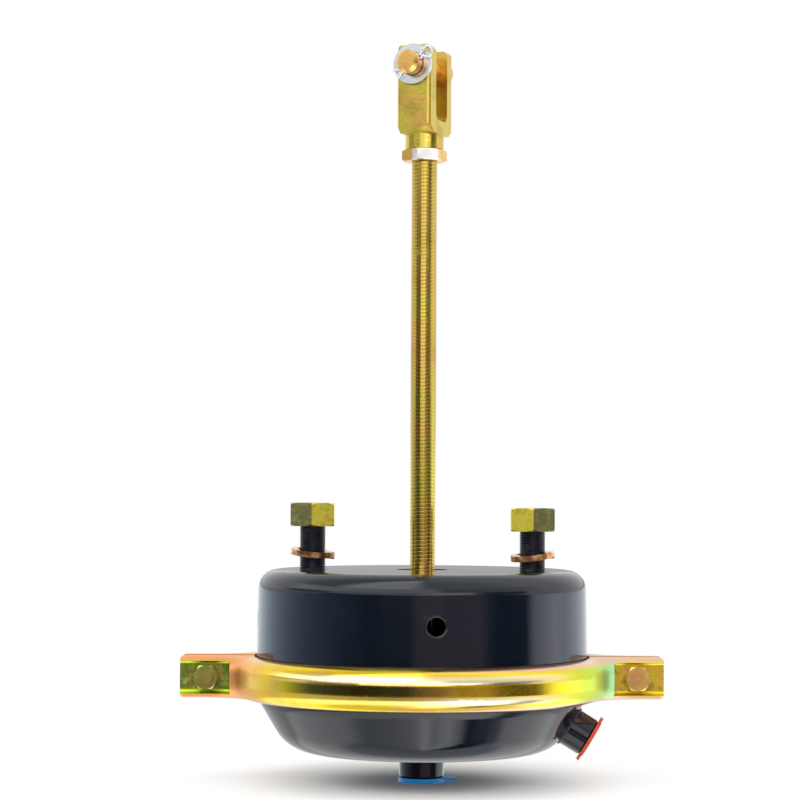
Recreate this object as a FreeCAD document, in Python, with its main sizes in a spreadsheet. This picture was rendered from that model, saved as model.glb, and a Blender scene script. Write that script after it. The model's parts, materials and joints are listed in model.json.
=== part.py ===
import FreeCAD, Part

# Spring-return service brake chamber of the clamped diaphragm kind, in millimetres.
# The origin is the centre of the flat mounting face, on the push rod's axis.
# +Z runs along the push rod, out of the mounting face; the clamp ears lie along X;
# the fork's pin, washer and split pin face -Y.

import math
import os

import Sketcher
from FreeCAD import Placement, Rotation, Vector

DRIVING_SIZES = [
    # Fits and gaps
    ("running_clearance", 0.08, "radial clearance of a shaft in its bore"),
    ("body_gap", 0.3, "gap between faces that move past each other"),
    ("hole_clearance", 0.35, "radial clearance of a bolt or stud in its hole"),
    # Upper housing with the mounting face
    ("housing_sheet", 3.2, "sheet of both pressed housings"),
    ("cup_flange_width", 5.1, "upper housing's wall to the edge of its flange"),
    ("cup_draft", 0.9, "upper housing, narrowing from its flange to the mounting face"),
    ("cup_depth", 50.1, "mounting face down to the flange's upper side"),
    ("cup_corner_radius", 10.5, "pressed corner round the mounting face"),
    ("flange_root_radius", 1.3, "bend between wall and flange"),
    ("rod_hole_radius", 14.0, "hole in the mounting face for the rod seal"),
    ("vent_radius", 4.6, "vent hole"),
    ("vent_drop", 26.5, "mounting face down to the vents"),
    ("vent_azimuth", 4.7, "first vent, turned from -Y"),
    ("vent_rim_radius", 1.1, "rolled edge of a vent"),
    ("vent_count", 4, "vents round the cup"),
    # Lower housing with the air ports
    ("bead_thickness", 10.4, "diaphragm bead between the flanges"),
    ("bowl_flange_width", 6.3, "lower housing's wall to the edge of its flange"),
    ("bowl_straight", 4.2, "upright part of the wall under the flange"),
    ("bowl_slope", 31.0, "lean of the wall from upright"),
    ("bowl_depth", 35.2, "flange's upper side down to the bottom"),
    ("bowl_knee_radius", 12.0, "bend from upright to sloping wall"),
    ("bowl_corner_radius", 24.0, "bend from sloping wall to bottom"),
    ("port_radius", 7.4, "bore of the air ports, 3/8 pipe thread"),
    ("bottom_boss_radius", 12.25, "boss of the bottom port"),
    ("bottom_boss_length", 14.4, "boss below the bottom"),
    ("side_boss_radius", 10.6, "boss of the side port"),
    ("side_boss_length", 11.8, "boss out of the sloping wall"),
    ("side_port_drop", 13.6, "start of the slope down to the side port"),
    ("side_port_azimuth", -5.0, "side port, turned from +X"),
    ("boss_chamfer", 1.0, "edge of both bosses"),
    # Clamp band
    ("band_radius", 103.0, "outside of the clamp band"),
    ("band_sheet", 3.0, "sheet of the clamp band"),
    ("band_lip", 11.0, "outside of the band to the inner edge of its lips"),
    ("band_corner_radius", 8.5, "outer corners of the band's channel, and of the ears"),
    ("band_inner_radius", 4.0, "inner corners of the band's channel"),
    ("ear_gap", 7.0, "gap between the two halves at an ear"),
    ("ear_length", 29.0, "ear beyond the band"),
    ("ear_depth", 12.0, "depth of an ear, from its back to its front"),
    ("ear_bend_radius", 20.0, "hollow bend between the band and an ear's front"),
    ("ear_end_radius", 2.5, "rounded edge of an ear's end"),
    ("ear_border", 2.5, "above and below an ear's pocket"),
    ("ear_pocket_length", 28.0, "tip of an ear to the inner end of its pocket"),
    ("ear_pocket_radius", 2.0, "bend round the pocket's floor"),
    ("clamp_bolt_inset", 14.5, "tip of an ear to its bolt"),
    ("clamp_bolt_radius", 3.96875, "clamp bolt, 5/16 inch"),
    ("clamp_bolt_flats", 12.7, "head and nut across flats"),
    ("clamp_head_height", 5.6, "clamp bolt's head"),
    ("clamp_nut_height", 7.4, "clamp bolt's nut"),
    ("clamp_bolt_end", 2.6, "bolt end beyond its nut"),
    # Mounting studs, nuts and lock washers
    ("stud_offset", 60.325, "axis to a stud"),
    ("stud_radius", 7.9375, "stud, 5/8 inch"),
    ("stud_neck_radius", 8.1, "stud in its hole"),
    ("stud_core_radius", 7.2, "threaded length of a stud"),
    ("stud_shank", 2.6, "full shank above the mounting face"),
    ("stud_reach", 33.8, "mounting face to a stud's end"),
    ("stud_end_chamfer", 1.3, "end of a stud"),
    ("stud_head_radius", 11.5, "round head inside the housing"),
    ("stud_head_height", 6.4, "round head inside the housing"),
    ("backing_sheet", 3.0, "plate under the stud heads"),
    ("backing_disc_radius", 47.0, "middle of the plate, the spring's upper seat"),
    ("backing_end_radius", 12.4, "round ends of the plate"),
    ("nut_flats", 23.8, "mounting nut across flats"),
    ("nut_height", 12.8, "mounting nut"),
    ("left_nut_height", 23.6, "mounting face to the left nut"),
    ("right_nut_height", 21.2, "mounting face to the right nut"),
    ("lock_washer_bore", 8.35, "inner radius"),
    ("lock_washer_radius", 12.1, "outer radius"),
    ("lock_washer_wire", 3.2, "thickness"),
    ("lock_washer_step", 1.4, "rise from one split end to the other"),
    ("lock_washer_turns", 0.965, "share of a full turn"),
    ("lock_washer_tilt", 6.0, "the washers hang tilted outwards on the thread"),
    ("lock_washer_nod", 6.0, "and tilted to the front"),
    ("left_washer_height", 8.9, "mounting face to the left washer's middle"),
    ("right_washer_height", 7.6, "mounting face to the right washer's middle"),
    # Rod seal, spring, diaphragm and piston
    ("seal_flange_radius", 20.0, "rod seal, flange under the housing"),
    ("seal_flange_height", 2.4, "rod seal, flange under the housing"),
    ("seal_sink", 0.4, "rod seal below the mounting face"),
    ("diaphragm_sheet", 3.2, "diaphragm wall"),
    ("diaphragm_gap", 0.4, "diaphragm to the lower housing"),
    ("piston_clearance", 7.9, "push plate to the corner of the diaphragm's floor"),
    ("piston_sheet", 3.0, "push plate"),
    ("piston_rim", 8.0, "height of the push plate's rim"),
    ("piston_corner_radius", 7.0, "bend of the push plate's rim"),
    ("hub_foot_radius", 15.0, "hub on the push plate"),
    ("hub_top_radius", 10.5, "hub's upper end"),
    ("hub_height", 9.0, "hub"),
    ("spring_wire_radius", 2.25, "return spring's wire"),
    ("spring_top_radius", 41.0, "return spring, wide end"),
    ("spring_foot_radius", 24.0, "return spring, narrow end"),
    ("spring_turns", 5.0, "return spring"),
    # Push rod, jam nut and fork
    ("rod_radius", 7.0, "push rod, M14"),
    ("rod_chamfer", 1.4, "end of the push rod"),
    ("jam_nut_place", 224.6, "mounting face to the jam nut"),
    ("jam_nut_height", 6.4, "jam nut"),
    ("jam_nut_flats", 22.0, "jam nut across flats"),
    ("jam_nut_turn", 12.0, "jam nut, turned from a flat facing -Y"),
    ("fork_turn", -22.0, "fork, turned from its pin along Y"),
    ("fork_neck_radius", 10.6, "fork's round neck"),
    ("fork_neck_length", 8.0, "fork's round neck"),
    ("fork_shoulder", 4.3, "slope from the neck to the ears"),
    ("fork_crotch", 15.4, "fork's foot to the bottom of its gap"),
    ("fork_crotch_radius", 4.0, "corners at the bottom of the gap"),
    ("fork_pin_height", 44.7, "fork's foot to the pin"),
    ("fork_above_pin", 10.7, "pin to the fork's end"),
    ("fork_width", 20.0, "width of an ear"),
    ("fork_ear", 8.4, "thickness of an ear"),
    ("fork_gap", 16.2, "gap between the ears"),
    ("fork_corner", 2.0, "chamfer on the ears' ends"),
    ("fork_edge", 2.6, "rounding of the ears' long edges"),
    ("rod_short_of_gap", 3.0, "push rod's end below the fork's gap"),
    # Fork pin, washer and split pin
    ("pin_radius", 6.35, "fork pin, 1/2 inch"),
    ("pin_head_radius", 8.6, "fork pin's head"),
    ("pin_head_height", 3.9, "fork pin's head"),
    ("pin_end", 8.7, "pin beyond its washer"),
    ("pin_chamfer", 1.8, "pin's end"),
    ("pin_washer_radius", 11.0, "washer"),
    ("pin_washer_sheet", 1.8, "washer"),
    ("split_wire_radius", 0.8, "each leg of the split pin"),
    ("split_turn", 32.0, "split pin's rise from the fork's X axis"),
    ("split_eye_place", 10.8, "pin's axis to the middle of the eye"),
    ("split_eye_radius", 2.9, "middle line of the eye"),
    ("split_leg_reach", 10.6, "pin's axis to the legs' ends"),
    ("split_leg_spread", 2.3, "legs' ends from their middle line"),
    # Port plugs
    ("plug_skirt", 8.0, "length of a plug inside its port"),
    ("plug_wall", 1.5, "wall of a plug's skirt"),
    ("bottom_plug_radius", 12.5, "bottom plug's rim"),
    ("bottom_plug_sheet", 2.3, "bottom plug's rim"),
    ("bottom_tab_reach", 18.6, "axis to the end of the pull tab"),
    ("side_plug_radius", 10.5, "side plug's rim"),
    ("side_plug_sheet", 1.9, "side plug's rim"),
    ("side_lug_reach", 13.0, "axis to the end of a lug"),
    ("tab_width", 7.0, "tab and lugs"),
    ("tab_sheet", 1.5, "tab and lugs"),
]

FULL_TURN = 360.0
HALF_TURN = 180.0
HEX_CHAMFER_ANGLE = 30.0


class Size:
    """A length or angle: its number, and the sheet's expression that gives the same number."""

    def __init__(self, number, text):
        self.number = number
        self.text = text

    def __add__(self, other):
        other = as_size(other)
        return Size(self.number + other.number, f"({self.text} + {other.text})")

    def __radd__(self, other):
        return as_size(other) + self

    def __sub__(self, other):
        other = as_size(other)
        return Size(self.number - other.number, f"({self.text} - {other.text})")

    def __rsub__(self, other):
        return as_size(other) - self

    def __mul__(self, other):
        other = as_size(other)
        return Size(self.number * other.number, f"({self.text} * {other.text})")

    def __rmul__(self, other):
        return as_size(other) * self

    def __truediv__(self, other):
        other = as_size(other)
        return Size(self.number / other.number, f"({self.text} / {other.text})")

    def __neg__(self):
        return Size(-self.number, f"(0 - {self.text})")


def as_size(value):
    """A plain number becomes a Size, so that both kinds can be mixed in a formula."""
    if isinstance(value, Size):
        return value
    return Size(float(value), f"({float(value)!r})")


def cosine(angle):
    """Cosine of an angle in degrees."""
    angle = as_size(angle)
    return Size(math.cos(math.radians(angle.number)), f"cos({angle.text})")


def sine(angle):
    """Sine of an angle in degrees."""
    angle = as_size(angle)
    return Size(math.sin(math.radians(angle.number)), f"sin({angle.text})")


def tangent(angle):
    """Tangent of an angle in degrees."""
    angle = as_size(angle)
    return Size(math.tan(math.radians(angle.number)), f"tan({angle.text})")


class Sheet:
    """The driving sizes in a spreadsheet, read by name as attributes."""

    def __init__(self, document, rows):
        self.cells = document.addObject("Spreadsheet::Sheet", "Sizes")
        for row, (alias, value, meaning) in enumerate(rows, start=1):
            self.cells.set(f"A{row}", alias)
            self.cells.set(f"B{row}", str(value))
            self.cells.set(f"C{row}", meaning)
            self.cells.setAlias(f"B{row}", alias)
            setattr(self, alias, Size(float(value), f"Sizes.{alias}"))


doc = FreeCAD.newDocument("brake_chamber")
sizes = Sheet(doc, DRIVING_SIZES)
doc.recompute()


# Heights and radii that several pieces share

flange_top = -sizes.cup_depth
bead_top = flange_top - sizes.housing_sheet
bead_foot = bead_top - sizes.bead_thickness
lower_flange_foot = bead_foot - sizes.housing_sheet
slope_start = lower_flange_foot - sizes.bowl_straight
bowl_foot = bead_foot - sizes.bowl_depth
band_top = flange_top + sizes.band_sheet
band_foot = lower_flange_foot - sizes.band_sheet
band_middle = (band_top + band_foot) / 2
band_lip_radius = sizes.band_radius - sizes.band_lip
flange_radius = sizes.band_radius - sizes.band_sheet - sizes.band_inner_radius - sizes.body_gap
cup_base_radius = flange_radius - sizes.cup_flange_width
cup_top_radius = cup_base_radius - sizes.cup_draft
bowl_top_radius = flange_radius - sizes.bowl_flange_width
ear_reach = sizes.band_radius + sizes.ear_length
clamp_bolt_offset = ear_reach - sizes.clamp_bolt_inset
cup_inner_top = -sizes.housing_sheet
backing_foot = cup_inner_top - sizes.backing_sheet
bottom_boss_foot = bowl_foot - sizes.bottom_boss_length
diaphragm_top = bowl_foot + sizes.housing_sheet + sizes.diaphragm_gap + sizes.diaphragm_sheet
piston_foot = diaphragm_top + sizes.body_gap
piston_top = piston_foot + sizes.piston_sheet
ear_back = sizes.ear_gap / 2
ear_web_face = ear_back + sizes.band_sheet
ear_front = ear_back + sizes.ear_depth
jam_nut_top = sizes.jam_nut_place + sizes.jam_nut_height
fork_foot = jam_nut_top + sizes.body_gap
fork_neck_top = fork_foot + sizes.fork_neck_length
fork_gap_foot = fork_foot + sizes.fork_crotch
fork_pin = fork_foot + sizes.fork_pin_height
fork_end = fork_pin + sizes.fork_above_pin
fork_side = sizes.fork_gap / 2 + sizes.fork_ear
rod_end = fork_gap_foot - sizes.rod_short_of_gap
pin_washer_near = fork_side + sizes.body_gap
pin_washer_far = pin_washer_near + sizes.pin_washer_sheet
split_pin_hole = 2 * sizes.split_wire_radius + sizes.running_clearance
split_pin_place = pin_washer_far + sizes.body_gap + split_pin_hole
side_port_radius = bowl_top_radius - sizes.side_port_drop * tangent(sizes.bowl_slope)
side_port_height = slope_start - sizes.side_port_drop


def bind(item, **expressions):
    """Bind properties of an object to sheet expressions."""
    for name, value in expressions.items():
        item.setExpression(name.replace("__", "."), as_size(value).text)


def place_at(item, x=0, y=0, z=0):
    """Bind an object's position."""
    bind(item, Placement__Base__x=x, Placement__Base__y=y, Placement__Base__z=z)


def new_body(label):
    """A named body for one sub-part."""
    body = doc.addObject("PartDesign::Body", label)
    body.Label = label
    return body


def new_sketch(body, role, name, offset=0):
    """A sketch on one of the body's own origin planes, moved along its normal by offset."""
    sketch = body.newObject("Sketcher::SketchObject", f"{body.Name}_{name}")
    plane = [item for item in body.Origin.OriginFeatures if item.Role == role][0]
    sketch.AttachmentSupport = [(plane, "")]
    sketch.MapMode = "FlatFace"
    bind(sketch, AttachmentOffset__Base__z=offset)
    return sketch


def pin_points(sketch, places):
    """Bind points of the sketch's geometry to their distances from the origin."""
    constraints = []
    expressions = []
    for geometry, end, x, y in places:
        for kind, axis, value in (("DistanceX", -2, x), ("DistanceY", -1, y)):
            if isinstance(value, Size):
                constraints.append(Sketcher.Constraint(kind, -1, 1, geometry, end, value.number))
                expressions.append(value.text)
            else:
                constraints.append(Sketcher.Constraint("PointOnObject", geometry, end, axis))
                expressions.append(None)
    indices = sketch.addConstraint(constraints)
    for index, expression in zip(indices, expressions):
        if expression is not None:
            sketch.setExpression(f"Constraints[{index}]", expression)


def add_outline(sketch, corners):
    """A closed outline of straight runs. A corner's x or y is a Size, or 0 on the axis."""
    first = sketch.GeometryCount
    count = len(corners)
    points = [Vector(as_size(x).number, as_size(y).number, 0) for x, y in corners]
    sketch.addGeometry([Part.LineSegment(points[i], points[(i + 1) % count]) for i in range(count)])
    joins = [Sketcher.Constraint("Coincident", first + i, 2, first + (i + 1) % count, 1) for i in range(count)]
    sketch.addConstraint(joins)
    pin_points(sketch, [(first + i, 1, x, y) for i, (x, y) in enumerate(corners)])


def add_rectangle(sketch, left, right, low, high):
    """An upright rectangle."""
    add_outline(sketch, [(left, low), (right, low), (right, high), (left, high)])


def add_circle(sketch, radius, x=0, y=0):
    """A circle about a bound centre."""
    geometry = sketch.GeometryCount
    centre = Vector(as_size(x).number, as_size(y).number, 0)
    sketch.addGeometry(Part.Circle(centre, Vector(0, 0, 1), radius.number))
    index = sketch.addConstraint(Sketcher.Constraint("Radius", geometry, radius.number))
    sketch.setExpression(f"Constraints[{index}]", radius.text)
    pin_points(sketch, [(geometry, 3, x, y)])


def add_hexagon(sketch, flats, corner_on_x):
    """A regular hexagon about the origin, with two corners on the X axis or on the Y axis."""
    corner = flats / (2 * cosine(HEX_CHAMFER_ANGLE))
    half_corner = corner / 2
    half_flats = flats / 2
    points = [
        (corner, 0), (half_corner, half_flats), (-half_corner, half_flats),
        (-corner, 0), (-half_corner, -half_flats), (half_corner, -half_flats),
    ]
    if not corner_on_x:
        points = [(y, x) for x, y in reversed(points)]
    add_outline(sketch, points)


def finish_feature(body, feature):
    """Make the feature the body's tip and compute it."""
    body.Tip = feature
    doc.recompute()
    if "Invalid" in feature.State or feature.Shape.isNull():
        raise RuntimeError(f"{body.Label}: {feature.Name} failed")
    return feature


def revolve(body, name, corners):
    """Turn an outline of radius and height about the body's Z axis."""
    sketch = new_sketch(body, "XZ_Plane", f"{name}_section")
    add_outline(sketch, corners)
    feature = body.newObject("PartDesign::Revolution", f"{body.Name}_{name}")
    feature.Profile = sketch
    feature.ReferenceAxis = (sketch, ["V_Axis"])
    feature.Angle = FULL_TURN
    return finish_feature(body, feature)


def groove(body, name, corners):
    """Cut a ring of the outline's section out of the body."""
    sketch = new_sketch(body, "XZ_Plane", f"{name}_section")
    add_outline(sketch, corners)
    feature = body.newObject("PartDesign::Groove", f"{body.Name}_{name}")
    feature.Profile = sketch
    feature.ReferenceAxis = (sketch, ["V_Axis"])
    feature.Angle = FULL_TURN
    return finish_feature(body, feature)


def pad(body, sketch, name, length, both_sides=False, downwards=False):
    """Raise the sketch by a length along its normal, against it, or half to each side."""
    feature = body.newObject("PartDesign::Pad", f"{body.Name}_{name}")
    feature.Profile = sketch
    feature.SideType = "Symmetric" if both_sides else "One side"
    feature.Reversed = downwards
    bind(feature, Length=length)
    return finish_feature(body, feature)


def pocket(body, sketch, name, both_sides=True, reverse=False):
    """Cut the sketch right through the body and check that something was cut."""
    before = body.Shape.Volume
    feature = body.newObject("PartDesign::Pocket", f"{body.Name}_{name}")
    feature.Profile = sketch
    feature.Type = "ThroughAll"
    feature.SideType = "Symmetric" if both_sides else "One side"
    feature.Reversed = reverse
    finish_feature(body, feature)
    if body.Shape.Volume >= before:
        raise RuntimeError(f"{body.Label}: {name} cut nothing")
    return feature


def edges_where(feature, test):
    """Names of the feature's edges that pass the test."""
    return [f"Edge{i}" for i, edge in enumerate(feature.Shape.Edges, start=1) if test(edge)]


def is_ring(edge, radius, height, slack=0.02):
    """True for a circle about Z of this radius at this height."""
    curve = edge.Curve
    if not isinstance(curve, Part.Circle):
        return False
    off_axis = math.hypot(curve.Center.x, curve.Center.y)
    same_radius = abs(curve.Radius - as_size(radius).number) < slack
    return off_axis < slack and same_radius and abs(curve.Center.z - as_size(height).number) < slack


def is_run(edge, direction, slack=0.001, **places):
    """True for a straight edge along a direction whose middle has the given coordinates."""
    if not isinstance(edge.Curve, Part.Line):
        return False
    along = edge.tangentAt(edge.FirstParameter)
    if along.cross(direction).Length > slack:
        return False
    middle = edge.CenterOfMass
    return all(abs(abs(getattr(middle, axis)) - abs(as_size(value).number)) < 0.02 for axis, value in places.items())


def round_edges(body, name, names, radius):
    """Round the named edges of the body's tip."""
    return dress(body, "PartDesign::Fillet", name, names, Radius=radius)


def bevel_edges(body, name, names, length):
    """Bevel the named edges of the body's tip."""
    return dress(body, "PartDesign::Chamfer", name, names, Size=length)


def dress(body, kind, name, names, **sizes_of_it):
    """A fillet or a chamfer on the named edges."""
    if not names:
        raise RuntimeError(f"{body.Label}: no edge for {name}")
    base = body.Tip
    feature = body.newObject(kind, f"{body.Name}_{name}")
    feature.Base = (base, names)
    bind(feature, **sizes_of_it)
    return finish_feature(body, feature)


def round_rings(body, name, rings, radius):
    """Round circular edges, each given by its radius and height."""
    def wanted(edge):
        return any(is_ring(edge, ring_radius, height) for ring_radius, height in rings)
    return round_edges(body, name, edges_where(body.Tip, wanted), radius)


def bowl_corners(inset):
    """Corners of the lower housing's outside, moved inwards by inset: the knee and the bottom corner."""
    knee = (
        bowl_top_radius - inset,
        slope_start + inset * tangent(sizes.bowl_slope / 2),
    )
    slope_height = slope_start - bowl_foot
    foot_radius = bowl_top_radius - slope_height * tangent(sizes.bowl_slope)
    corner = (
        foot_radius - inset * tangent((90 - sizes.bowl_slope) / 2),
        bowl_foot + inset,
    )
    return knee, corner


def diaphragm_floor_radius():
    """Radius where the diaphragm's sloping side would meet its floor."""
    corner = bowl_corners(sizes.housing_sheet + sizes.diaphragm_gap + sizes.diaphragm_sheet)[1]
    return corner[0]


def side_port_turn():
    """Rotation that takes Z to the side port's axis, square to the sloping wall."""
    lean = Rotation(Vector(0, 1, 0), 90 + sizes.bowl_slope.number)
    return Rotation(Vector(0, 0, 1), sizes.side_port_azimuth.number) * lean


def place_on_side_port(item, distance=0):
    """Put an object's own Z axis on the side port's axis, at a distance out of the wall."""
    item.Placement = Placement(Vector(), side_port_turn())
    reach = side_port_radius + distance * cosine(sizes.bowl_slope)
    place_at(
        item,
        x=reach * cosine(sizes.side_port_azimuth),
        y=reach * sine(sizes.side_port_azimuth),
        z=side_port_height - distance * sine(sizes.bowl_slope),
    )


def chamfer_hexagon(body, name, flats, height, upwards):
    """Turn the corners of a hexagonal head or nut down at 30 degrees, on its upper or lower face."""
    outside = flats
    fall = (outside - flats / 2) * tangent(HEX_CHAMFER_ANGLE)
    low = height - fall if upwards else height + fall
    groove(body, name, [(flats / 2, height), (outside, height), (outside, low)])


def hexagon_nut(label, flats, height, bore, foot, corner_on_x):
    """A hexagonal nut with turned corners on both faces, its foot at the given height."""
    body = new_body(label)
    sketch = new_sketch(body, "XY_Plane", "plan", offset=foot)
    add_hexagon(sketch, flats, corner_on_x)
    add_circle(sketch, bore)
    pad(body, sketch, "block", height)
    chamfer_hexagon(body, "top_corners", flats, foot + height, upwards=True)
    chamfer_hexagon(body, "foot_corners", flats, foot, upwards=False)
    return body


def non_pressure_housing():
    """Pressed cup with the mounting face, a flange below, stud holes, a rod hole and vents."""
    sheet = sizes.housing_sheet
    body = new_body("non_pressure_housing")
    revolve(body, "shell", [
        (sizes.rod_hole_radius, 0),
        (cup_top_radius, 0),
        (cup_base_radius, flange_top),
        (flange_radius, flange_top),
        (flange_radius, bead_top),
        (cup_base_radius - sheet, bead_top),
        (cup_top_radius - sheet, cup_inner_top),
        (sizes.rod_hole_radius, cup_inner_top),
    ])
    round_rings(body, "corner", [(cup_top_radius, 0)], sizes.cup_corner_radius)
    inner_corner = [(cup_top_radius - sheet, cup_inner_top)]
    round_rings(body, "inner_corner", inner_corner, sizes.cup_corner_radius - sheet)
    round_rings(body, "root", [(cup_base_radius, flange_top)], sizes.flange_root_radius)
    holes = new_sketch(body, "XY_Plane", "stud_holes")
    for side in (-1, 1):
        add_circle(holes, sizes.stud_radius + sizes.hole_clearance, x=side * sizes.stud_offset)
    pocket(body, holes, "stud_hole_cut")
    vent = new_sketch(body, "XZ_Plane", "vent_outline")
    vent.AttachmentOffset = Placement(Vector(), Rotation(Vector(0, 1, 0), sizes.vent_azimuth.number))
    add_circle(vent, sizes.vent_radius, y=-sizes.vent_drop)
    cut = pocket(body, vent, "vent_cut", both_sides=False, reverse=True)
    before = body.Shape.Volume
    ring = body.newObject("PartDesign::PolarPattern", "vent_ring")
    ring.Originals = [cut]
    ring.Axis = ([item for item in body.Origin.OriginFeatures if item.Role == "Z_Axis"][0], [""])
    ring.Angle = FULL_TURN
    bind(ring, Occurrences=sizes.vent_count)
    finish_feature(body, ring)
    if body.Shape.Volume >= before:
        raise RuntimeError("the vents were not repeated")
    rims = edges_where(ring, is_outer_vent_edge)
    round_edges(body, "vent_rims", rims, sizes.vent_rim_radius)
    return body


def is_outer_vent_edge(edge):
    """True for the edge of a vent on the outside of the cup."""
    box = edge.BoundBox
    middle = edge.CenterOfMass
    narrow = box.DiagonalLength < 4 * sizes.vent_radius.number
    level = abs(middle.z + sizes.vent_drop.number) < sizes.vent_radius.number / 2
    wall_middle = cup_top_radius.number - sizes.housing_sheet.number / 2
    return narrow and level and math.hypot(middle.x, middle.y) > wall_middle


def bowl_form(label, inset):
    """The solid form of the lower housing below its flange, moved inwards by inset."""
    knee, corner = bowl_corners(inset)
    body = new_body(label)
    revolve(body, "form", [
        (0, bead_foot),
        (knee[0], bead_foot),
        knee,
        corner,
        (0, corner[1]),
    ])
    round_rings(body, "knee", [knee], sizes.bowl_knee_radius - inset)
    round_rings(body, "corner", [corner], sizes.bowl_corner_radius - inset)
    return body


def pressure_housing():
    """Pressed bowl with a flange, a sloping wall and holes for the two air ports."""
    sheet = sizes.housing_sheet
    knee, corner = bowl_corners(0)
    inner_knee, inner_corner = bowl_corners(sheet)
    body = new_body("pressure_housing_shell")
    revolve(body, "shell", [
        (flange_radius, bead_foot),
        (inner_knee[0], bead_foot),
        inner_knee,
        inner_corner,
        (sizes.port_radius, inner_corner[1]),
        (sizes.port_radius, bowl_foot),
        corner,
        knee,
        (bowl_top_radius, lower_flange_foot),
        (flange_radius, lower_flange_foot),
    ])
    round_rings(body, "knee", [knee], sizes.bowl_knee_radius)
    round_rings(body, "inner_knee", [inner_knee], sizes.bowl_knee_radius - sheet)
    round_rings(body, "corner", [corner], sizes.bowl_corner_radius)
    round_rings(body, "inner_corner", [inner_corner], sizes.bowl_corner_radius - sheet)
    round_rings(body, "root", [(bowl_top_radius, lower_flange_foot)], sizes.flange_root_radius)
    drill = doc.addObject("Part::Cylinder", "side_port_drill")
    bind(drill, Radius=sizes.port_radius, Height=4 * sheet)
    place_on_side_port(drill, -2 * sheet)
    return cut_away("pressure_housing", body, drill)


def bottom_port_boss():
    """Boss welded under the middle of the lower housing, its mouth facing down."""
    body = new_body("bottom_port_boss")
    radius = sizes.bottom_boss_radius
    chamfer = sizes.boss_chamfer
    revolve(body, "boss", [
        (sizes.port_radius, bowl_foot),
        (radius, bowl_foot),
        (radius, bottom_boss_foot + chamfer),
        (radius - chamfer, bottom_boss_foot),
        (sizes.port_radius, bottom_boss_foot),
    ])
    return body


def side_port_boss():
    """Boss welded square to the sloping wall, its foot trimmed to the wall's outside."""
    blank = new_body("side_boss_blank")
    radius = sizes.side_boss_radius
    chamfer = sizes.boss_chamfer
    revolve(blank, "boss", [
        (sizes.port_radius, -sizes.housing_sheet),
        (radius, -sizes.housing_sheet),
        (radius, sizes.side_boss_length - chamfer),
        (radius - chamfer, sizes.side_boss_length),
        (sizes.port_radius, sizes.side_boss_length),
    ])
    place_on_side_port(blank)
    return cut_away("side_port_boss", blank, bowl_form("bowl_outside", 0))


def clamp_half(label, turn):
    """Half of the clamp band: a channel round both flanges with a pocketed ear at each end."""
    blank = clamp_blank(f"{label}_blank")
    one_ear = cut_away(f"{label}_one_ear", blank, ear_pocket(f"{label}_left_pocket", -1))
    half = cut_away(label, one_ear, ear_pocket(f"{label}_right_pocket", 1))
    half.Placement = Placement(Vector(), Rotation(Vector(0, 0, 1), turn))
    return half


def clamp_blank(label):
    """A clamp half with solid ears that bend out of the band and share its rounded corners."""
    sheet = sizes.band_sheet
    inner = sizes.band_radius - sheet
    body = new_body(label)
    revolve(body, "ring", [
        (band_lip_radius, band_top),
        (sizes.band_radius, band_top),
        (sizes.band_radius, band_foot),
        (band_lip_radius, band_foot),
    ])
    half = new_sketch(body, "XY_Plane", "other_half")
    add_rectangle(half, -ear_reach, ear_reach, -ear_back, ear_reach)
    pocket(body, half, "half_cut")
    plan = new_sketch(body, "XY_Plane", "ear_plan", offset=band_foot)
    start = band_lip_radius + sheet
    for side in (-1, 1):
        add_rectangle(plan, side * start, side * ear_reach, -ear_front, -ear_back)
    pad(body, plan, "ears", band_top - band_foot)
    up = Vector(0, 0, 1)
    tip = ear_reach.number
    bends = edges_where(body.Tip, lambda edge: is_run(edge, up, y=ear_front) and edge_reach(edge) < tip)
    round_edges(body, "bends", bends, sizes.ear_bend_radius)
    round_edges(body, "corners", edges_where(body.Tip, is_outer_corner), sizes.band_corner_radius)
    round_edges(body, "ends", edges_where(body.Tip, is_ear_end), sizes.ear_end_radius)
    groove(body, "channel", [
        (band_lip_radius - sheet, band_top - sheet),
        (inner, band_top - sheet),
        (inner, band_foot + sheet),
        (band_lip_radius - sheet, band_foot + sheet),
    ])
    inner_rings = [(inner, band_top - sheet), (inner, band_foot + sheet)]
    round_rings(body, "channel_corners", inner_rings, sizes.band_inner_radius)
    holes = new_sketch(body, "XZ_Plane", "bolt_holes")
    for side in (-1, 1):
        bolt_hole = sizes.clamp_bolt_radius + sizes.hole_clearance
        add_circle(holes, bolt_hole, x=side * clamp_bolt_offset, y=band_middle)
    pocket(body, holes, "bolt_hole_cut")
    return body


def edge_reach(edge):
    """Distance of an edge's middle from the YZ plane."""
    return abs(edge.CenterOfMass.x)


def is_outer_corner(edge):
    """True for the front edges of the band and its ears, top and bottom."""
    box = edge.BoundBox
    level = min(abs(box.ZMin - height.number) for height in (band_top, band_foot)) < 0.001
    flat = box.ZLength < 0.001 and box.XLength > 1
    return level and flat and min(math.hypot(v.X, v.Y) for v in edge.Vertexes) > flange_radius.number


def is_ear_end(edge):
    """True for the front, upper and lower edges of an ear's end."""
    box = edge.BoundBox
    at_tip = abs(edge_reach(edge) - ear_reach.number) < 0.001 and box.XLength < 0.001
    return at_tip and box.YMin < -ear_back.number - 0.001


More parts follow.
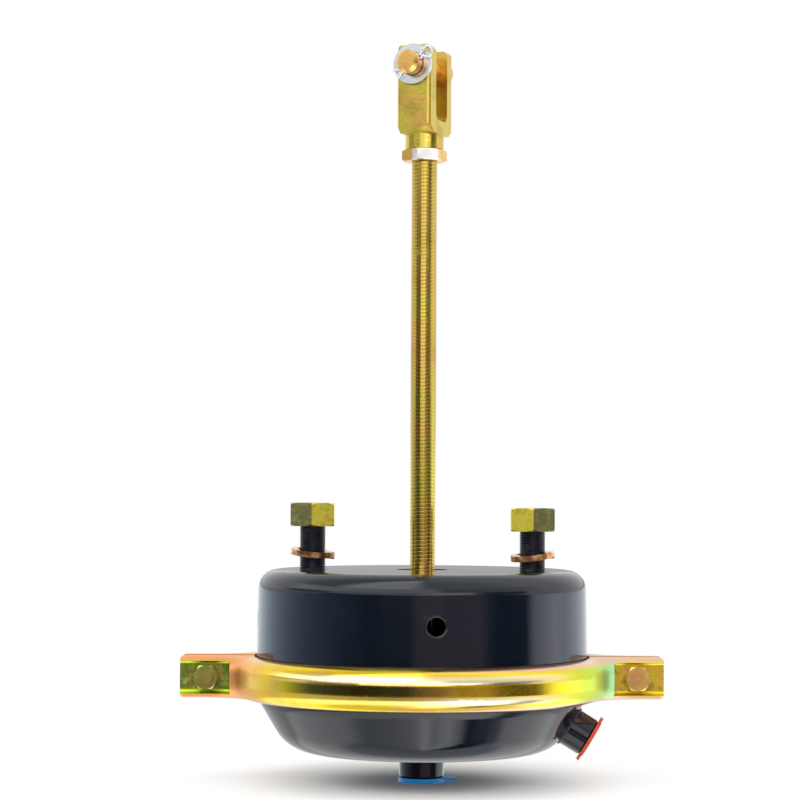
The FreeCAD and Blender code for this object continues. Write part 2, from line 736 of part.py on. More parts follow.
def ear_pocket(label, side):
    """The hollow of one ear, in front of its web, with a rounded floor."""
    body = new_body(label)
    border = sizes.ear_border
    plan = new_sketch(body, "XY_Plane", "plan", offset=band_foot + border)
    inner_end = side * (ear_reach - sizes.ear_pocket_length)
    beyond = sizes.ear_pocket_length + sizes.ear_depth
    add_rectangle(plan, inner_end, inner_end + side * beyond, -(ear_front + beyond), -ear_web_face)
    pad(body, plan, "block", band_top - band_foot - 2 * border)
    floor_end = inner_end.number + side * beyond.number

    def is_at_floor(edge):
        box = edge.BoundBox
        on_floor = abs(box.YMax + ear_web_face.number) < 0.001 and box.YLength < 0.001
        return on_floor and abs(edge.CenterOfMass.x - floor_end) > 0.001

    round_edges(body, "floor_bend", edges_where(body.Tip, is_at_floor), sizes.ear_pocket_radius)
    return body


def place_clamp_fastener(item, side, facing):
    """Turn a fastener's Z axis to the facing side, -1 or 1 along Y, on the bolt line of one ear."""
    item.Placement = Placement(Vector(), Rotation(Vector(1, 0, 0), -90 * facing))
    place_at(item, x=side * clamp_bolt_offset, z=band_middle)


def clamp_bolts():
    """Two hexagon bolts through the ears, put in from opposite sides."""
    bolts = []
    for side, facing in ((-1, 1), (1, -1)):
        body = new_body("left_clamp_bolt" if side < 0 else "right_clamp_bolt")
        head = new_sketch(body, "XY_Plane", "head_plan", offset=ear_web_face)
        add_hexagon(head, sizes.clamp_bolt_flats, corner_on_x=True)
        pad(body, head, "head", sizes.clamp_head_height)
        head_top = ear_web_face + sizes.clamp_head_height
        chamfer_hexagon(body, "head_corners", sizes.clamp_bolt_flats, head_top, upwards=True)
        shank_end = -(ear_web_face + sizes.clamp_nut_height + sizes.clamp_bolt_end)
        shank = new_sketch(body, "XY_Plane", "shank_plan", offset=shank_end)
        add_circle(shank, sizes.clamp_bolt_radius)
        pad(body, shank, "shank", ear_web_face - shank_end)
        place_clamp_fastener(body, side, facing)
        bolts.append(body)
    return group("clamp_bolts", bolts)


def clamp_nuts():
    """The clamp bolts' nuts, on the side away from each head."""
    bore = sizes.clamp_bolt_radius + sizes.running_clearance
    nuts = []
    for side, facing in ((-1, -1), (1, 1)):
        label = "left_clamp_nut" if side < 0 else "right_clamp_nut"
        nut = hexagon_nut(label, sizes.clamp_bolt_flats, sizes.clamp_nut_height, bore, ear_web_face, True)
        place_clamp_fastener(nut, side, facing)
        nuts.append(nut)
    return group("clamp_nuts", nuts)


def cut_away(label, base, tool):
    """A sub-part that is one shape less another."""
    cut = doc.addObject("Part::Cut", label)
    cut.Base = base
    cut.Tool = tool
    cut.Label = label
    doc.recompute()
    if cut.Shape.Volume >= base.Shape.Volume:
        raise RuntimeError(f"{label}: nothing was cut away")
    return cut


def group(label, members):
    """Like pieces that share one name."""
    compound = doc.addObject("Part::Compound", label)
    compound.Links = members
    compound.Label = label
    return compound


def mounting_stud(label, side):
    """Headed stud: head inside the housing, a plain shank through the face, then the threaded length."""
    body = new_body(label)
    head_foot = backing_foot - sizes.stud_head_height
    chamfer = sizes.stud_end_chamfer
    revolve(body, "stud", [
        (0, head_foot),
        (sizes.stud_head_radius, head_foot),
        (sizes.stud_head_radius, backing_foot),
        (sizes.stud_neck_radius, backing_foot),
        (sizes.stud_neck_radius, 0),
        (sizes.stud_radius, 0),
        (sizes.stud_radius, sizes.stud_shank),
        (sizes.stud_core_radius, sizes.stud_shank),
        (sizes.stud_core_radius, sizes.stud_reach - chamfer),
        (sizes.stud_core_radius - chamfer, sizes.stud_reach),
        (0, sizes.stud_reach),
    ])
    place_at(body, x=side * sizes.stud_offset)
    return body


def mounting_nut(label, side, foot):
    """Hexagon nut on a stud, a corner facing the front."""
    bore = sizes.stud_core_radius + sizes.running_clearance
    nut = hexagon_nut(label, sizes.nut_flats, sizes.nut_height, bore, foot, False)
    place_at(nut, x=side * sizes.stud_offset)
    return nut


def lock_washer(label, side, height):
    """Split spring washer: a square wire wound just short of one turn, hanging tilted on its stud."""
    body = new_body(label)
    low = -(sizes.lock_washer_wire + sizes.lock_washer_step) / 2
    sketch = new_sketch(body, "XZ_Plane", "wire_section")
    add_rectangle(sketch, sizes.lock_washer_bore, sizes.lock_washer_radius, low, low + sizes.lock_washer_wire)
    coil = body.newObject("PartDesign::AdditiveHelix", f"{label}_coil")
    coil.Profile = sketch
    coil.ReferenceAxis = (sketch, ["V_Axis"])
    coil.Mode = "pitch-turns-angle"
    bind(coil, Pitch=sizes.lock_washer_step / sizes.lock_washer_turns, Turns=sizes.lock_washer_turns)
    finish_feature(body, coil)
    outwards = Rotation(Vector(0, 1, 0), -side * sizes.lock_washer_tilt.number)
    body.Placement = Placement(Vector(), Rotation(Vector(1, 0, 0), sizes.lock_washer_nod.number) * outwards)
    place_at(body, x=side * sizes.stud_offset, z=height)
    return body


def stud_backing_plate():
    """Plate inside the mounting face: a disc for the spring with an end round each stud."""
    body = new_body("stud_backing_plate")
    plan = new_sketch(body, "XY_Plane", "disc_plan", offset=backing_foot)
    add_circle(plan, sizes.backing_disc_radius)
    pad(body, plan, "disc", sizes.backing_sheet)
    bar = new_sketch(body, "XY_Plane", "bar_plan", offset=backing_foot)
    half_width = sizes.backing_end_radius
    add_rectangle(bar, -sizes.stud_offset, sizes.stud_offset, -half_width, half_width)
    pad(body, bar, "bar", sizes.backing_sheet)
    ends = new_sketch(body, "XY_Plane", "end_plan", offset=backing_foot)
    for side in (-1, 1):
        add_circle(ends, half_width, x=side * sizes.stud_offset)
    pad(body, ends, "ends", sizes.backing_sheet)
    holes = new_sketch(body, "XY_Plane", "holes")
    add_circle(holes, sizes.seal_flange_radius + sizes.body_gap)
    for side in (-1, 1):
        add_circle(holes, sizes.stud_radius + sizes.hole_clearance, x=side * sizes.stud_offset)
    pocket(body, holes, "hole_cut")
    return body


def rod_seal():
    """Rubber seal in the rod hole, its flange held under the mounting face."""
    body = new_body("rod_seal")
    bore = sizes.rod_radius + sizes.running_clearance
    spigot = sizes.rod_hole_radius - sizes.running_clearance
    flange_foot = cup_inner_top - sizes.seal_flange_height
    revolve(body, "seal", [
        (bore, flange_foot),
        (sizes.seal_flange_radius, flange_foot),
        (sizes.seal_flange_radius, cup_inner_top),
        (spigot, cup_inner_top),
        (spigot, -sizes.seal_sink),
        (bore, -sizes.seal_sink),
    ])
    return body


def diaphragm():
    """Moulded diaphragm lying in the lower housing, its bead between the two flanges."""
    outer_inset = sizes.housing_sheet + sizes.diaphragm_gap
    inner_inset = outer_inset + sizes.diaphragm_sheet
    knee, corner = bowl_corners(outer_inset)
    inner_knee, inner_corner = bowl_corners(inner_inset)
    bead_radius = flange_radius - sizes.body_gap
    body = new_body("diaphragm")
    revolve(body, "sheet", [
        (0, inner_corner[1]),
        inner_corner,
        inner_knee,
        (inner_knee[0], bead_top),
        (bead_radius, bead_top),
        (bead_radius, bead_foot),
        (knee[0], bead_foot),
        knee,
        corner,
        (0, corner[1]),
    ])
    round_rings(body, "corner", [corner], sizes.bowl_corner_radius - outer_inset)
    round_rings(body, "inner_corner", [inner_corner], sizes.bowl_corner_radius - inner_inset)
    return body


def return_spring():
    """Conical spring, wide end under the mounting face and narrow end on the push plate."""
    body = new_body("return_spring")
    seat = sizes.body_gap + sizes.spring_wire_radius
    foot = piston_top + seat
    height = backing_foot - seat - foot
    growth = sizes.spring_top_radius - sizes.spring_foot_radius
    sketch = new_sketch(body, "XZ_Plane", "wire_section")
    add_circle(sketch, sizes.spring_wire_radius, x=sizes.spring_foot_radius, y=foot)
    coil = body.newObject("PartDesign::AdditiveHelix", "spring_coil")
    coil.Profile = sketch
    coil.ReferenceAxis = (sketch, ["V_Axis"])
    coil.Mode = "height-turns-growth"
    bind(coil, Height=height, Turns=sizes.spring_turns, Growth=growth / sizes.spring_turns)
    finish_feature(body, coil)
    return body


def push_rod():
    """Threaded rod from the push plate into the fork."""
    body = new_body("push_rod")
    chamfer = sizes.rod_chamfer
    revolve(body, "rod", [
        (0, piston_foot),
        (sizes.rod_radius, piston_foot),
        (sizes.rod_radius, rod_end - chamfer),
        (sizes.rod_radius - chamfer, rod_end),
        (0, rod_end),
    ])
    return body


def piston_plate():
    """Dished push plate on the rod's foot, its rim turned up."""
    body = new_body("piston_plate")
    sheet = sizes.piston_sheet
    radius = diaphragm_floor_radius() - sizes.piston_clearance
    bore = sizes.rod_radius + sizes.running_clearance
    rim_top = piston_foot + sizes.piston_rim
    revolve(body, "plate", [
        (bore, piston_foot),
        (radius, piston_foot),
        (radius, rim_top),
        (radius - sheet, rim_top),
        (radius - sheet, piston_top),
        (bore, piston_top),
    ])
    round_rings(body, "corner", [(radius, piston_foot)], sizes.piston_corner_radius)
    inner = [(radius - sheet, piston_top)]
    round_rings(body, "inner_corner", inner, sizes.piston_corner_radius - sheet)
    return body


def piston_hub():
    """Welded hub between the push plate and the rod."""
    body = new_body("piston_hub")
    bore = sizes.rod_radius + sizes.running_clearance
    hub_top = piston_top + sizes.hub_height
    revolve(body, "hub", [
        (bore, piston_top),
        (sizes.hub_foot_radius, piston_top),
        (sizes.hub_top_radius, hub_top),
        (bore, hub_top),
    ])
    return body


def jam_nut():
    """Thin nut that locks the fork on the rod."""
    bore = sizes.rod_radius + sizes.running_clearance
    nut = hexagon_nut("jam_nut", sizes.jam_nut_flats, sizes.jam_nut_height, bore, sizes.jam_nut_place, True)
    nut.Placement = Placement(Vector(), Rotation(Vector(0, 0, 1), sizes.jam_nut_turn.number))
    return nut


def fork():
    """Forged fork: a round neck on the rod, sloping shoulders and two flat ears for the pin."""
    body = new_body("clevis")
    half_gap = sizes.fork_gap / 2
    half_width = sizes.fork_width / 2
    shoulder_top = fork_neck_top + sizes.fork_shoulder
    side = new_sketch(body, "YZ_Plane", "side_outline")
    add_outline(side, [
        (-fork_side, fork_end),
        (-fork_side, shoulder_top),
        (-sizes.fork_neck_radius, fork_neck_top),
        (sizes.fork_neck_radius, fork_neck_top),
        (fork_side, shoulder_top),
        (fork_side, fork_end),
        (half_gap, fork_end),
        (half_gap, fork_gap_foot),
        (-half_gap, fork_gap_foot),
        (-half_gap, fork_end),
    ])
    pad(body, side, "ears", sizes.fork_width, both_sides=True)
    along_x = Vector(1, 0, 0)
    crotch = edges_where(body.Tip, lambda edge: is_run(edge, along_x, y=half_gap, z=fork_gap_foot))
    round_edges(body, "crotch", crotch, sizes.fork_crotch_radius)
    neck = new_sketch(body, "XY_Plane", "neck_plan", offset=fork_foot)
    add_circle(neck, sizes.fork_neck_radius)
    pad(body, neck, "neck", sizes.fork_neck_length + sizes.fork_shoulder)
    along_y = Vector(0, 1, 0)
    ends = edges_where(body.Tip, lambda edge: is_run(edge, along_y, x=half_width, z=fork_end))
    bevel_edges(body, "ends", ends, sizes.fork_corner)
    up = Vector(0, 0, 1)
    sides = edges_where(body.Tip, lambda edge: is_run(edge, up, x=half_width, y=fork_side))
    round_edges(body, "sides", sides, sizes.fork_edge)
    bore = new_sketch(body, "XY_Plane", "rod_bore")
    add_circle(bore, sizes.rod_radius + sizes.running_clearance)
    pocket(body, bore, "rod_bore_cut")
    hole = new_sketch(body, "XZ_Plane", "pin_hole")
    add_circle(hole, sizes.pin_radius + sizes.running_clearance, y=fork_pin)
    pocket(body, hole, "pin_hole_cut")
    turn_with_fork(body)
    return body


def turn_with_fork(item, rotation=Rotation()):
    """Turn a piece about the rod with the fork, after its own rotation."""
    turn = Rotation(Vector(0, 0, 1), sizes.fork_turn.number)
    item.Placement = Placement(Vector(), turn * rotation)


def place_on_pin(item, distance=0, rotation=Rotation(), across=0, rise=0):
    """Turn a piece's Z axis to the pin's free end, after its own rotation.

    The piece then moves along the pin by distance, across the fork and up.
    """
    turn_with_fork(item, Rotation(Vector(1, 0, 0), 90) * rotation)
    place_at(
        item,
        x=across * cosine(sizes.fork_turn) + distance * sine(sizes.fork_turn),
        y=across * sine(sizes.fork_turn) - distance * cosine(sizes.fork_turn),
        z=fork_pin + rise,
    )


def clevis_pin():
    """Headed pin through both ears, with a cross hole for the split pin near its free end."""
    blank = new_body("clevis_pin_blank")
    head_near = -(fork_side + sizes.body_gap)
    head_far = head_near - sizes.pin_head_height
    end = pin_washer_far + sizes.pin_end
    chamfer = sizes.pin_chamfer
    revolve(blank, "pin", [
        (0, head_far),
        (sizes.pin_head_radius, head_far),
        (sizes.pin_head_radius, head_near),
        (sizes.pin_radius, head_near),
        (sizes.pin_radius, end - chamfer),
        (sizes.pin_radius - chamfer, end),
        (0, end),
    ])
    place_on_pin(blank)
    drill = doc.addObject("Part::Cylinder", "split_pin_drill")
    bind(drill, Radius=split_pin_hole, Height=2 * sizes.pin_radius)
    place_on_pin(
        drill,
        split_pin_place,
        Rotation(Vector(0, 0, 1), sizes.split_turn.number) * Rotation(Vector(0, 1, 0), 90),
        across=-sizes.pin_radius * cosine(sizes.split_turn),
        rise=-sizes.pin_radius * sine(sizes.split_turn),
    )
    return cut_away("clevis_pin", blank, drill)


def clevis_washer():
    """Flat washer between the front ear and the split pin."""
    body = new_body("clevis_washer")
    bore = sizes.pin_radius + sizes.hole_clearance
    revolve(body, "washer", [
        (bore, pin_washer_near),
        (sizes.pin_washer_radius, pin_washer_near),
        (sizes.pin_washer_radius, pin_washer_far),
        (bore, pin_washer_far),
    ])
    place_on_pin(body)
    return body


def split_pin():
    """Split pin bent from one wire: an eye, two legs through the cross hole, and spread ends."""
    wire = sizes.split_wire_radius.number
    leg = wire + sizes.running_clearance.number / 2
    eye = sizes.split_eye_radius.number
    eye_place = sizes.split_eye_place.number
    reach = sizes.split_leg_reach.number
    spread = sizes.split_leg_spread.number
    bend = sizes.pin_radius.number + wire
    neck = eye_place - math.sqrt(eye ** 2 - leg ** 2)
    upper = [Vector(-reach, spread, 0), Vector(-bend, leg, 0), Vector(neck, leg, 0)]
    lower = [Vector(neck, -leg, 0), Vector(-bend, -leg, 0), Vector(-reach, -spread, 0)]
    loop = Part.Arc(upper[-1], Vector(eye_place + eye, 0, 0), lower[0])
    path = Part.Wire([
        Part.makeLine(upper[0], upper[1]),
        Part.makeLine(upper[1], upper[2]),
        loop.toShape(),
        Part.makeLine(lower[0], lower[1]),
        Part.makeLine(lower[1], lower[2]),
    ])
    section = Part.Wire([Part.makeCircle(wire, upper[0], upper[1] - upper[0])])
    pin = doc.addObject("Part::Feature", "cotter_pin")
    pin.Shape = path.makePipeShell([section], True, False, 2)
    place_on_pin(pin, split_pin_place, Rotation(Vector(0, 0, 1), sizes.split_turn.number))
    pin.Label = "cotter_pin"
    return pin


def port_plug(label, rim_radius, rim_sheet, mouth):
    """Hollow push-in plug: a rim on the boss's mouth and a skirt inside its bore, along Z."""
    body = new_body(label)
    skirt = sizes.port_radius - sizes.running_clearance
    inner = skirt - sizes.plug_wall
    skirt_end = mouth - sizes.plug_skirt
    revolve(body, "plug", [
        (0, mouth),
        (inner, mouth),
        (inner, skirt_end),
        (skirt, skirt_end),
        (skirt, mouth),
        (rim_radius, mouth),
        (rim_radius, mouth + rim_sheet),
        (0, mouth + rim_sheet),
    ])
    return body


def bottom_port_plug():
    """Plug in the bottom port, with one pull tab towards +X."""
    mouth = sizes.bottom_boss_length
    body = port_plug("bottom_port_plug", sizes.bottom_plug_radius, sizes.bottom_plug_sheet, mouth)
    plan = new_sketch(body, "XY_Plane", "tab_plan", offset=mouth)
    tab_start = sizes.bottom_plug_radius - sizes.tab_sheet
    add_rectangle(plan, tab_start, sizes.bottom_tab_reach, -sizes.tab_width / 2, sizes.tab_width / 2)
    pad(body, plan, "tab", sizes.tab_sheet)
    body.Placement = Placement(Vector(), Rotation(Vector(1, 0, 0), HALF_TURN))
    place_at(body, z=bowl_foot)
    return body


def side_port_plug():
    """Plug in the side port, with two small lugs on its rim."""
    mouth = sizes.side_boss_length
    body = port_plug("side_port_plug", sizes.side_plug_radius, sizes.side_plug_sheet, mouth)
    plan = new_sketch(body, "XY_Plane", "lug_plan", offset=mouth)
    reach = sizes.side_lug_reach
    add_rectangle(plan, -reach, reach, -sizes.tab_width / 2, sizes.tab_width / 2)
    pad(body, plan, "lugs", sizes.tab_sheet)
    place_on_side_port(body)
    return body


def check_and_write(parts):
    """Refuse any failed object or bad shape, then write each sub-part under its label."""
    doc.recompute()
    failed = [item.Label for item in doc.Objects if {"Invalid", "Error"} & set(item.State)]
    for part in parts:
        shape = part.Shape
        if shape.isNull() or not shape.isValid() or not shape.Solids:
            failed.append(part.Label)
    if failed:
        raise RuntimeError(f"failed: {', '.join(failed)}")
    os.makedirs("parts", exist_ok=True)
    for part in parts:
        part.Shape.exportStep(f"parts/{part.Label}.step")
        print(f"{part.Label}: {len(part.Shape.Solids)} solid, {part.Shape.Volume:.1f} mm3")


check_and_write([
    non_pressure_housing(),
    pressure_housing(),
    bottom_port_boss(),
    side_port_boss(),
    clamp_half("clamp_half_front", 0),
    clamp_half("clamp_half_rear", HALF_TURN),
    clamp_bolts(),
    clamp_nuts(),
    mounting_stud("mounting_stud_left", -1),
    mounting_stud("mounting_stud_right", 1),
    stud_backing_plate(),
    rod_seal(),
    diaphragm(),
    return_spring(),
    push_rod(),
    piston_plate(),
    piston_hub(),
    jam_nut(),
    fork(),
    clevis_pin(),
    clevis_washer(),
    split_pin(),
    mounting_nut("mounting_nut_left", -1, sizes.left_nut_height),
    mounting_nut("mounting_nut_right", 1, sizes.right_nut_height),
    lock_washer("lock_washer_left", -1, sizes.left_washer_height),
    lock_washer("lock_washer_right", 1, sizes.right_washer_height),
    bottom_port_plug(),
    side_port_plug(),
])
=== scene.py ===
import json
import math

import bmesh
import bpy
import numpy as np
from bpy.props import FloatProperty, FloatVectorProperty, IntProperty, PointerProperty
from mathutils import Matrix, Vector


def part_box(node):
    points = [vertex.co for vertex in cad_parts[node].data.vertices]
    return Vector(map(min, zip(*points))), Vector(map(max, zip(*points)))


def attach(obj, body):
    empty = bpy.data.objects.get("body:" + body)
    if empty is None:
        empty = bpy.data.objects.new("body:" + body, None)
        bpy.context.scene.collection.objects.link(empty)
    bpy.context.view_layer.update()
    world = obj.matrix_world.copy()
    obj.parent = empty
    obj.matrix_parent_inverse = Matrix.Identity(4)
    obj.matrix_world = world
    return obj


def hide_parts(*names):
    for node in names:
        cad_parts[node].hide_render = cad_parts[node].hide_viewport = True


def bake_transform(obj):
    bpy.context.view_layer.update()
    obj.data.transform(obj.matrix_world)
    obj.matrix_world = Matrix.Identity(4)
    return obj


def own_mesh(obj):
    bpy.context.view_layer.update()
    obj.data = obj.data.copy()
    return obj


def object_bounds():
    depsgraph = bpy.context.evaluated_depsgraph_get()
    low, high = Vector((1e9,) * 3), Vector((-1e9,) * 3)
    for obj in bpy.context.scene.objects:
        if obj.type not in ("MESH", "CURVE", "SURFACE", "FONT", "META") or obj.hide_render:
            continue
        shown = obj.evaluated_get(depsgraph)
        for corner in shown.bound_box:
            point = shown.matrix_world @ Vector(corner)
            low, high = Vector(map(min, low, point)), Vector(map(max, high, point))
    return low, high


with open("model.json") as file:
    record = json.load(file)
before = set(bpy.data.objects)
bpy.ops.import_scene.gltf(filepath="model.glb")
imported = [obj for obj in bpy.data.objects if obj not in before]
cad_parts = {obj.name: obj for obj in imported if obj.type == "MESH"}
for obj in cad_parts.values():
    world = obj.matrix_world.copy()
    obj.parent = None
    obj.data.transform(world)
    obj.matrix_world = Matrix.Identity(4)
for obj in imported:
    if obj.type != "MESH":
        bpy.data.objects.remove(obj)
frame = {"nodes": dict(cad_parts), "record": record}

bl_info = {
    "name": "Air brake chamber",
    "version": (1, 0, 0),
    "blender": (4, 5, 0),
    "location": "3D View > Sidebar > Chamber",
    "description": "Threads, spring, diaphragm, welds, finishes and stage for an air brake chamber",
    "category": "Object",
}

CAD_BOUNDS = [list(corner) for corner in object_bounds()]
ROD_LOW, ROD_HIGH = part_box("push_rod")
STUD_LOW, STUD_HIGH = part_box("mounting_stud_right")
SPRING_LOW, SPRING_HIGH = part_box("return_spring")
DIAPHRAGM_LOW, DIAPHRAGM_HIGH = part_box("diaphragm")
BAND_LOW, BAND_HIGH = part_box("clamp_half_front")
BOWL_LOW, BOWL_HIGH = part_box("pressure_housing")
BOTTOM_BOSS_LOW, BOTTOM_BOSS_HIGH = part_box("bottom_port_boss")
NECK_LENGTH = 0.0080
NECK_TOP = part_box("clevis")[0].z + NECK_LENGTH
FLOOR_HEIGHT = CAD_BOUNDS[0][2]


# Settings

def number(name, description, default, **more):
    """A number for the panel."""
    return FloatProperty(name=name, description=description, default=default, **more)


def length(name, description, default):
    """A length in metres for the panel."""
    return number(name, description, default, unit="LENGTH", precision=5)


def slant(name, description, degrees):
    """An angle for the panel, given in degrees."""
    return number(name, description, math.radians(degrees), subtype="ANGLE")


def colour(name, description, default):
    """A colour for the panel."""
    return FloatVectorProperty(
        name=name, description=description, default=default, subtype="COLOR", size=3, min=0, max=1
    )


class ChamberShape(bpy.types.PropertyGroup):
    """Sizes of the pieces that are drawn here."""

    rod_pitch: length("Rod pitch", "Between the push rod's threads", 0.002)
    rod_thread_depth: length("Rod thread depth", "Crest to root on the push rod", 0.00014)
    rod_thread_foot: length("Rod thread foot", "Where the push rod's thread begins", -0.066)
    rod_chamfer: length("Rod chamfer", "Bevel at the push rod's end", 0.0014)
    stud_pitch: length("Stud pitch", "Between a mounting stud's threads", 0.001411)
    stud_thread_depth: length("Stud thread depth", "Crest to root on a mounting stud", 0.0003)
    stud_thread_foot: length("Stud thread foot", "Where a mounting stud's thread begins", 0.0)
    stud_crest: length("Stud crest radius", "Radius of a mounting stud over its threads", 0.0070)
    stud_neck: length("Stud neck", "Radius of a mounting stud in its hole", 0.0081)
    stud_head: length("Stud head", "Height of a stud's head", 0.0064)
    stud_head_bevel: length("Stud head bevel", "Bevel round a stud's head", 0.0006)
    stud_chamfer: length("Stud chamfer", "Bevel at a stud's end", 0.0013)
    wire_radius: length("Spring wire", "Radius of the return spring's wire", 0.00225)
    spring_foot: length("Spring foot radius", "Middle line of the spring's narrow end", 0.024)
    spring_top: length("Spring top radius", "Middle line of the spring's wide end", 0.041)
    spring_turns: number("Spring turns", "Turns of the return spring", 5.0, min=1)
    sheet: length("Diaphragm sheet", "Thickness of the diaphragm", 0.0032)
    bowl_wall: length("Lower housing's wall", "Radius of its upright part", 0.0894)
    bowl_slope_start: length("Slope start", "Where the lower wall begins to lean", -0.0711)
    bowl_slope: slant("Slope", "Lean of the lower wall from upright", 31)
    side_boss_radius: length("Side boss radius", "Outside of the side port's boss", 0.0106)
    weld: length("Weld radius", "Half the height of the weld beads", 0.0009)
    weld_ripples: IntProperty(
        name="Weld ripples", description="Ripples round one weld bead", default=44, min=0
    )


class ChamberFinish(bpy.types.PropertyGroup):
    """Colours of the finishes."""

    enamel: colour("Enamel", "Gloss black enamel", (0.0035, 0.0065, 0.0125))
    gold: colour("Chromate gold", "Yellow chromate of the clamp band", (0.96, 0.67, 0.03))
    rose: colour("Chromate rose", "Rose patches of the chromate", (0.88, 0.36, 0.16))
    green: colour("Chromate green", "Green patches of the chromate", (0.46, 0.66, 0.05))
    olive: colour("Chromate olive", "Olive patches of the chromate", (0.36, 0.31, 0.04))
    # Painted dark reflection: a brown band along the middle of the clamp band, where it mirrors
    # dark surroundings.
    dark_reflection: colour("Band stripe", "Brown along the middle of the band", (0.2, 0.15, 0.04))
    # Painted highlights: pale lines beside the middle of the band, where it mirrors bright light.
    rubbed_and_highlight: colour("Rubbed band", "Pale lines beside the stripe", (0.97, 0.92, 0.74))
    lips: colour("Band lips", "Rose edges of the band", (0.92, 0.52, 0.38))
    mint: colour("Band mint", "Pale green at the root of the right ear", (0.44, 0.8, 0.34))
    left_ear: colour("Left ear", "Rose gold", (0.95, 0.42, 0.15))
    right_ear: colour("Right ear", "Green gold", (0.62, 0.78, 0.05))
    # Painted reflections: bright tints in the corners of the ear pockets, where the fillets mirror
    # light.
    left_pocket_reflection: colour("Left pocket", "Inside the left ear's flanges", (0.55, 0.9, 0.02))
    right_pocket_reflection: colour("Right pocket", "Inside the right ear's flanges", (0.9, 0.7, 0.03))
    # Painted shade: the webs of the ear pockets under the bolts are painted darker.
    left_web_shade: colour("Left web", "Dark green under the left bolt", (0.13, 0.22, 0.05))
    right_web_shade: colour("Right web", "Brown gold under the right bolt", (0.72, 0.46, 0.04))
    left_bolt: colour("Left clamp bolt", "Olive gold", (0.4, 0.36, 0.1))
    right_bolt: colour("Right clamp bolt", "Tan gold", (0.86, 0.56, 0.16))
    rod: colour("Push rod", "Brown gold", (0.66, 0.47, 0.09))
    # Painted shade: the push rod's thread roots are painted darker, as shade in the grooves.
    rod_root_shade: colour("Rod thread roots", "Dark brown", (0.3, 0.2, 0.05))
    fork: colour("Fork", "Mustard gold", (0.7, 0.53, 0.1))
    jam_nut: colour("Jam nut", "Orange gold", (0.86, 0.55, 0.12))
    # Painted highlight: the jam nut's front face is painted nearly white, as light mirrored by it.
    jam_nut_front_highlight: colour("Jam nut's front", "Nearly white, as rubbed", (0.93, 0.91, 0.88))
    # Painted light and shade: the mounting nuts are yellow on the side towards the push rod and
    # olive on the outer side, as lit and shaded sides.
    nut: colour("Mounting nuts", "Yellow side towards the push rod", (0.95, 0.76, 0.08))
    nut_outside_shade: colour("Mounting nuts outside", "Dark olive side", (0.16, 0.17, 0.07))
    pin: colour("Fork pin", "Copper gold", (0.86, 0.5, 0.14))
    copper: colour("Lock washers", "Copper-toned chromate", (0.94, 0.66, 0.3))
    washer_patches: colour("Washer patches", "Brown patches", (0.5, 0.16, 0.06))
    zinc: colour("Bright zinc", "Bright zinc plate", (0.78, 0.8, 0.82))
    worn_zinc: colour("Worn zinc", "Bright zinc where it is rubbed", (0.62, 0.66, 0.66))
    oxide: colour("Black oxide", "Mounting studs", (0.01, 0.012, 0.02))
    rubbed_oxide: colour("Rubbed oxide", "Black oxide where it is rubbed", (0.07, 0.07, 0.075))
    steel: colour("Grey steel", "Pressed pieces inside", (0.36, 0.37, 0.38))
    spring: colour("Spring steel", "Return spring", (0.16, 0.17, 0.19))
    rubber: colour("Rubber", "Diaphragm and rod seal", (0.018, 0.018, 0.02))
    # Painted light: the plug's blue is set brighter than its own tone, to make up for the shadow
    # under the chamber.
    blue: colour("Blue plastic", "Bottom port plug", (0.02, 0.42, 1.0))
    red: colour("Red plastic", "Side port plug", (0.85, 0.1, 0.03))


class ChamberStage(bpy.types.PropertyGroup):
    """Camera, floor and light."""

    camera_distance: length("Camera distance", "Push rod to camera", 1.3126)
    camera_height: length("Camera height", "Mounting face to camera", 0.0433)
    lens: number("Lens", "Focal length in millimetres", 107.43, min=10)
    shift_x: number("Shift X", "Sideways shift of the view", -0.0285)
    shift_y: number("Shift Y", "Upward shift of the view", 0.03)
    tilt: slant("Tilt", "Upward tilt of the camera", 1.6)
    roll: slant("Roll", "Lean of the camera", 0.29)
    floor: colour("Floor", "Pale floor", (0.93, 0.93, 0.93))
    floor_radius: length("Floor radius", "Reach of the floor", 0.26)
    light_level: number("Light level", "Multiplies every lamp", 1.0, min=0)


# Surfaces from numbers

SAME_POINT = 2e-6
NO_LENGTH = 1e-7


def grid_object(name, points, sharp_angle=40):
    """An object through a grid of points: each cell of four neighbouring points is one face.

    The first and last columns may coincide, which closes the surface round. Doubled points are
    merged, and the faces turned outwards.
    """
    rows, columns = points.shape[:2]
    index = np.arange(rows * columns).reshape(rows, columns)
    cells = np.stack([index[:-1, :-1], index[:-1, 1:], index[1:, 1:], index[1:, :-1]], axis=-1)
    mesh = bpy.data.meshes.new(name)
    mesh.from_pydata(points.reshape(-1, 3), [], cells.reshape(-1, 4).tolist())
    work = bmesh.new()
    work.from_mesh(mesh)
    bmesh.ops.remove_doubles(work, verts=work.verts, dist=SAME_POINT)
    bmesh.ops.dissolve_degenerate(work, edges=work.edges, dist=NO_LENGTH)
    bmesh.ops.recalc_face_normals(work, faces=work.faces)
    work.to_mesh(mesh)
    work.free()
    mesh.polygons.foreach_set("use_smooth", np.ones(len(mesh.polygons), dtype=bool))
    mesh.set_sharp_from_angle(angle=math.radians(sharp_angle))
    piece = bpy.data.objects.new(name, mesh)
    bpy.context.scene.collection.objects.link(piece)
    return piece


